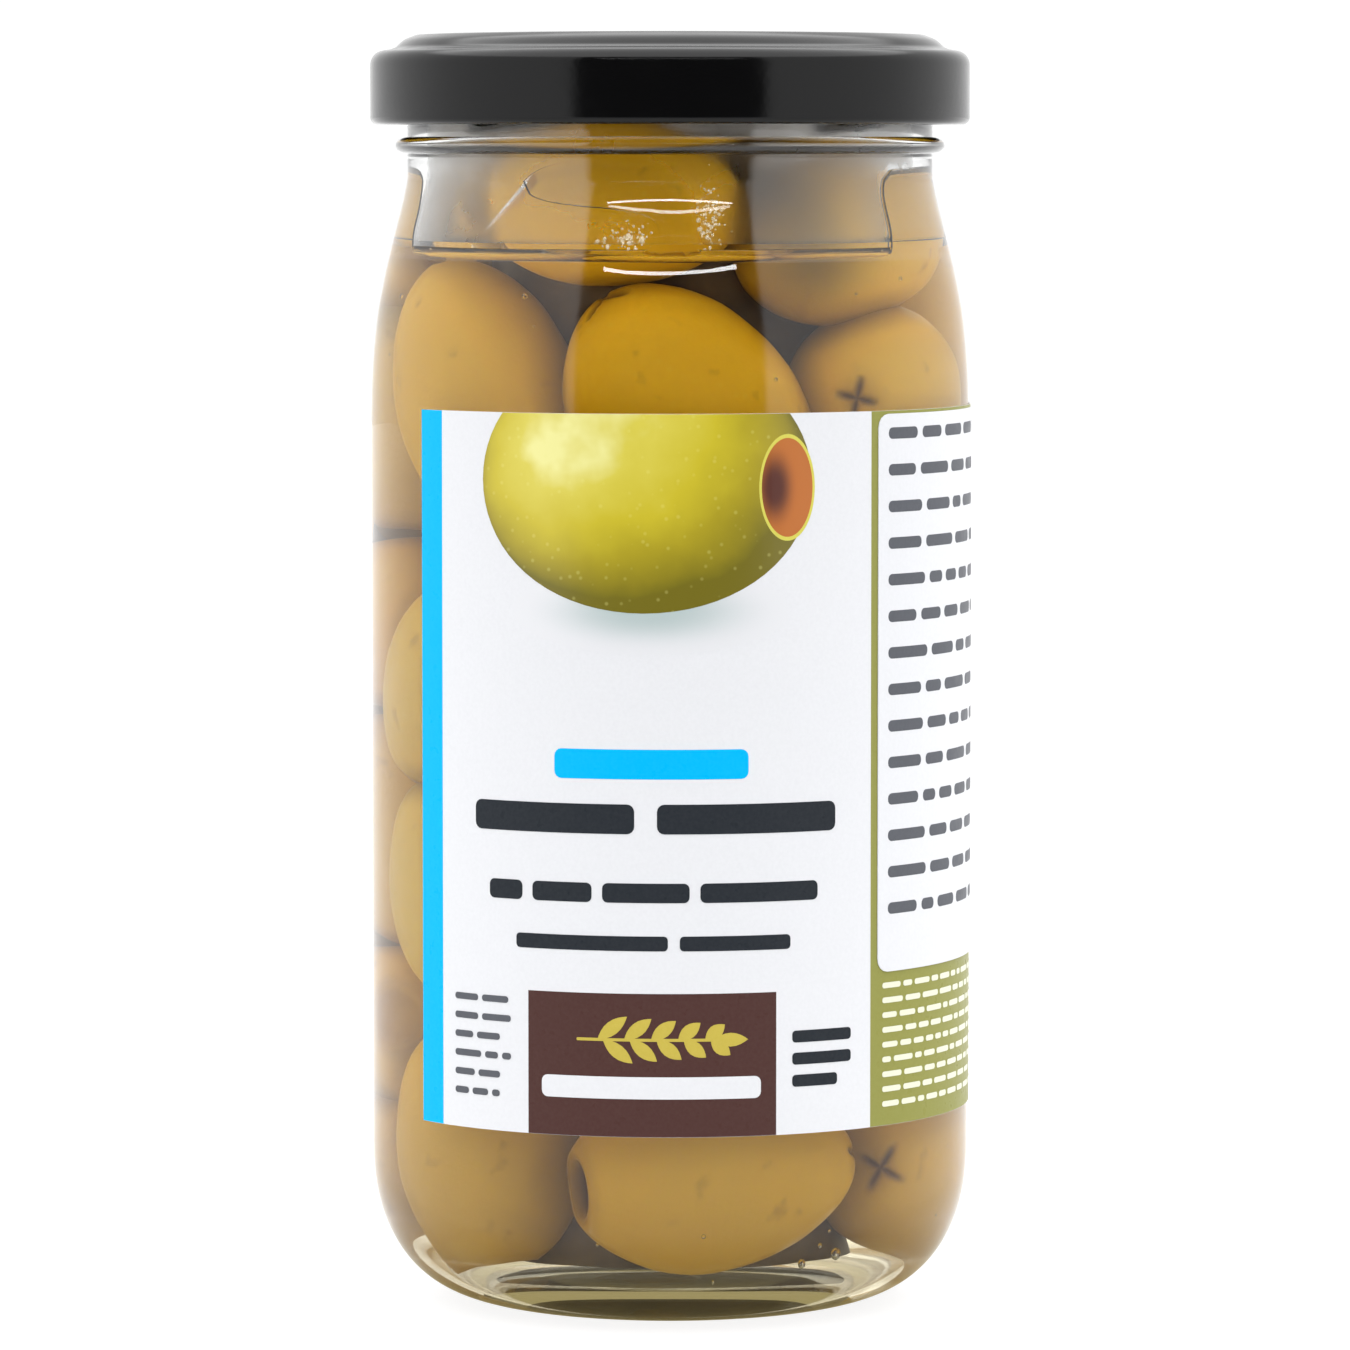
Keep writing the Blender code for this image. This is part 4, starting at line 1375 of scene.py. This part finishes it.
    def sprig(self) -> None:
        """Prints a plain golden sprig on the brown block."""
        gold = Printer()
        at = Printer.at
        middle = 32.6
        gold.block(at(-17.5), at(8.5), middle - 0.16, middle + 0.16, 0.12)
        for step in range(5):
            x = at(-13.5 + 5.0 * step)
            length = 4.1 - 0.35 * step
            gold.leaf((x, middle), 38, length, 1.5)
            gold.leaf((x + 0.6, middle), -38, length, 1.5)
        gold.leaf((at(8.0), middle), 0, 3.8, 1.5)
        self.lay(gold, "print_sprig", CoatedPaper("gold_ink", Ink.GOLD.value, 0.24), 1)

    def build(self) -> None:
        """Makes the paper and all that is printed on it."""
        sheet = Printer()
        sheet.block(sheet.at(self.start), sheet.at(self.end), self.low, self.high, self.corner)
        form = sheet.wrapped(self.inner, self.paper)
        paper = CoatedPaper("label_white", Ink.WHITE.value)
        finish_piece(form, "label_sheet", paper.build(), ["label"])
        self.fields()
        self.olive_picture()
        self.print_bars()
        self.sprig()


@dataclass
class Sticker:
    """The second, smaller paper stuck over the label's right side, with rows of grey bars."""

    start: float = 42.2
    end: float = 128.0
    low: float = 38.9
    high: float = 99.5
    corner: float = 1.5
    inner: float = 33.44
    paper: float = 0.11
    rows: int = 14
    first_row: float = 97.4
    pitch: float = 3.97
    seed: int = 3

    def build(self) -> None:
        """Makes the paper and its rows."""
        sheet = Printer()
        at = sheet.at
        sheet.block(at(self.start), at(self.end), self.low, self.high, self.corner)
        form = sheet.wrapped(self.inner, self.paper)
        paper = CoatedPaper("sticker_white", Ink.WHITE.value, 0.36)
        finish_piece(form, "sticker_sheet", paper.build(), ["sticker"])
        draw = random.Random(self.seed)
        rows = Printer()
        for row in range(self.rows):
            right = at(self.end - draw.uniform(3, 16))
            rows.words(at(self.start + 2.6), right, self.first_row - self.pitch * row, 1.25, draw)
        form = rows.wrapped(self.inner + self.paper - 0.004, 0.012)
        ink = CoatedPaper("sticker_grey", Ink.GREY.value, 0.36)
        finish_piece(form, "sticker_rows", ink.build(), ["sticker"])


@dataclass
class Studio:
    """A pale floor with a painted shadow under the jar, a soft white studio with an unlit gap behind the
    camera, and the camera.
    """

    distance: float = 790.5
    height: float = 128.77
    pitch: float = 4.293
    yaw: float = 0.0404
    lens: float = 189.32
    gap: float = 37.0
    side_light: float = 1.35
    back_light: float = 1.15
    gap_light: float = 0.06
    top_light: float = 3.2
    backdrop: float = 1.05
    floor_glow: float = 0.88
    # shaded and the colour below set the painted shadow on the floor's glow under the jar.
    shaded: tuple[float, float] = (27.0, 50.0)
    painted_shadow_colour: Colour = (0.33, 0.27, 0.11)
    gap_edge: float = 1.6
    strip: Oval = (24.5, 0.24, 28.0, 18.0)
    floor_front: float = 330.0
    floor_far: float = 2500.0

    def light(self) -> None:
        """Sets the world: bright sides, an even back and top, and the gap in front."""
        scene = bpy.context.scene
        world = bpy.data.worlds.new("studio")
        scene.world = world
        world.use_nodes = True
        tree = world.node_tree
        tree.nodes.clear()

        def add(kind: str, sockets: dict, output: int | str = 0, **settings: object) -> NodeSocket:
            """Adds a world node and gives one of its outputs."""
            node = tree.nodes.new("ShaderNode" + kind)
            for name, value in settings.items():
                setattr(node, name, value)
            for name, value in sockets.items():
                if isinstance(value, NodeSocket):
                    tree.links.new(value, node.inputs[name])
                else:
                    node.inputs[name].default_value = value
            return node.outputs[output]

        parts = add("SeparateXYZ", {0: add("TexCoord", {}, "Generated")})
        x, y, z = (parts.node.outputs[index] for index in range(3))
        side = add("Math", {0: x}, operation="ABSOLUTE")
        front = add("Math", {0: y, 1: -1.0}, operation="MULTIPLY")
        around = add("Math", {0: side, 1: front}, operation="ARCTAN2")
        gap = math.radians(self.gap)
        soft = math.radians(self.gap_edge)
        sides = {"Value": around, "From Min": gap - soft, "From Max": gap + soft}
        sides |= {"To Min": self.gap_light, "To Max": self.side_light}
        lit = add("MapRange", sides, interpolation_type="SMOOTHSTEP")
        back = {"Value": around, "From Min": 1.9, "From Max": 2.5, "To Min": 1.0}
        back |= {"To Max": self.back_light / self.side_light}
        lit = add("Math", {0: lit, 1: add("MapRange", back)}, operation="MULTIPLY")
        rising = {"Value": z, "From Min": 0.55, "From Max": 0.66}
        over = add("MapRange", rising, interpolation_type="SMOOTHSTEP")
        lit = add("Mix", {0: over, 2: lit, 3: self.top_light}, 0, data_type="FLOAT")
        rise, half, wide, bright = self.strip
        off = add("Math", {0: z, 1: math.sin(math.radians(rise))}, operation="SUBTRACT")
        off = add("Math", {0: off}, operation="ABSOLUTE")
        near = add("Math", {0: off, 1: math.radians(half)}, operation="LESS_THAN")
        middle = add("Math", {0: around, 1: math.radians(wide)}, operation="LESS_THAN")
        strip = add("Math", {0: near, 1: middle}, operation="MULTIPLY")
        lit = add("Math", {0: strip, 1: bright, 2: lit}, operation="MULTIPLY_ADD")
        seen = add("LightPath", {}, "Is Camera Ray")
        strength = add("Mix", {0: seen, 2: lit, 3: self.backdrop}, 0, data_type="FLOAT")
        shine = add("Background", {"Color": (1.0, 1.0, 1.0, 1.0), "Strength": strength})
        output = tree.nodes.new("ShaderNodeOutputWorld")
        tree.links.new(shine, output.inputs["Surface"])
        scene.view_settings.view_transform = "Standard"
        scene.view_settings.look = "None"

    def floor(self) -> None:
        """Lays the white floor, with a painted shadow under the jar: its glow darker and tinted there, for
        all but camera rays.
        """
        form = bmesh.new()
        bmesh.ops.create_grid(form, x_segments=1, y_segments=1, size=self.floor_far * MM)
        for vert in form.verts:
            vert.co.y = max(vert.co.y, -self.floor_front * MM)
        floor = plain_object(form, "floor")
        nodes = Nodes("floor_white")
        off = nodes.add("VectorMath", {0: nodes.place()}, 1, operation="LENGTH")
        # Painted shadow: the glow is darker and tinted near the jar, except for camera rays.
        under = nodes.spread(off, self.shaded[0] * MM, self.shaded[1] * MM)
        seen = nodes.calc("MAXIMUM", under, nodes.add("LightPath", {}, "Is Camera Ray"))
        colour = nodes.mix(seen, self.painted_shadow_colour, (1.0, 1.0, 1.0))
        values = {"Base Color": (0.13, 0.13, 0.13), "Roughness": 0.7}
        values |= {"Emission Color": colour, "Emission Strength": self.floor_glow}
        floor.data.materials.append(nodes.finish(values))
        bpy.context.scene.collection.objects.link(floor)

    def camera(self) -> None:
        """Sets the camera in front of the jar, a little under the lid's height."""
        data = bpy.data.cameras.new("camera")
        data.lens = self.lens
        data.clip_start = 0.05
        camera = bpy.data.objects.new("camera", data)
        camera.location = (0.0, -self.distance * MM, self.height * MM)
        camera.rotation_euler = (math.radians(90 - self.pitch), 0.0, math.radians(-self.yaw))
        bpy.context.scene.collection.objects.link(camera)
        bpy.context.scene.camera = camera

    def build(self) -> None:
        """Sets up the light, the floor and the camera."""
        self.light()
        self.floor()
        self.camera()


def main() -> None:
    """Builds the studio and the jar's pieces from the inside out."""
    logging.basicConfig(level=logging.INFO, format="%(message)s")
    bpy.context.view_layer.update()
    Studio().build()
    glass = JarGlass()
    OliveHeap(glass).build()
    brine = Brine(glass)
    brine.build()
    Mist(glass, brine).build()
    Bubbles(glass).build()
    glass.build()
    TwistLid().build()
    Label().build()
    Sticker().build()


if __name__ == "__main__":
    main()
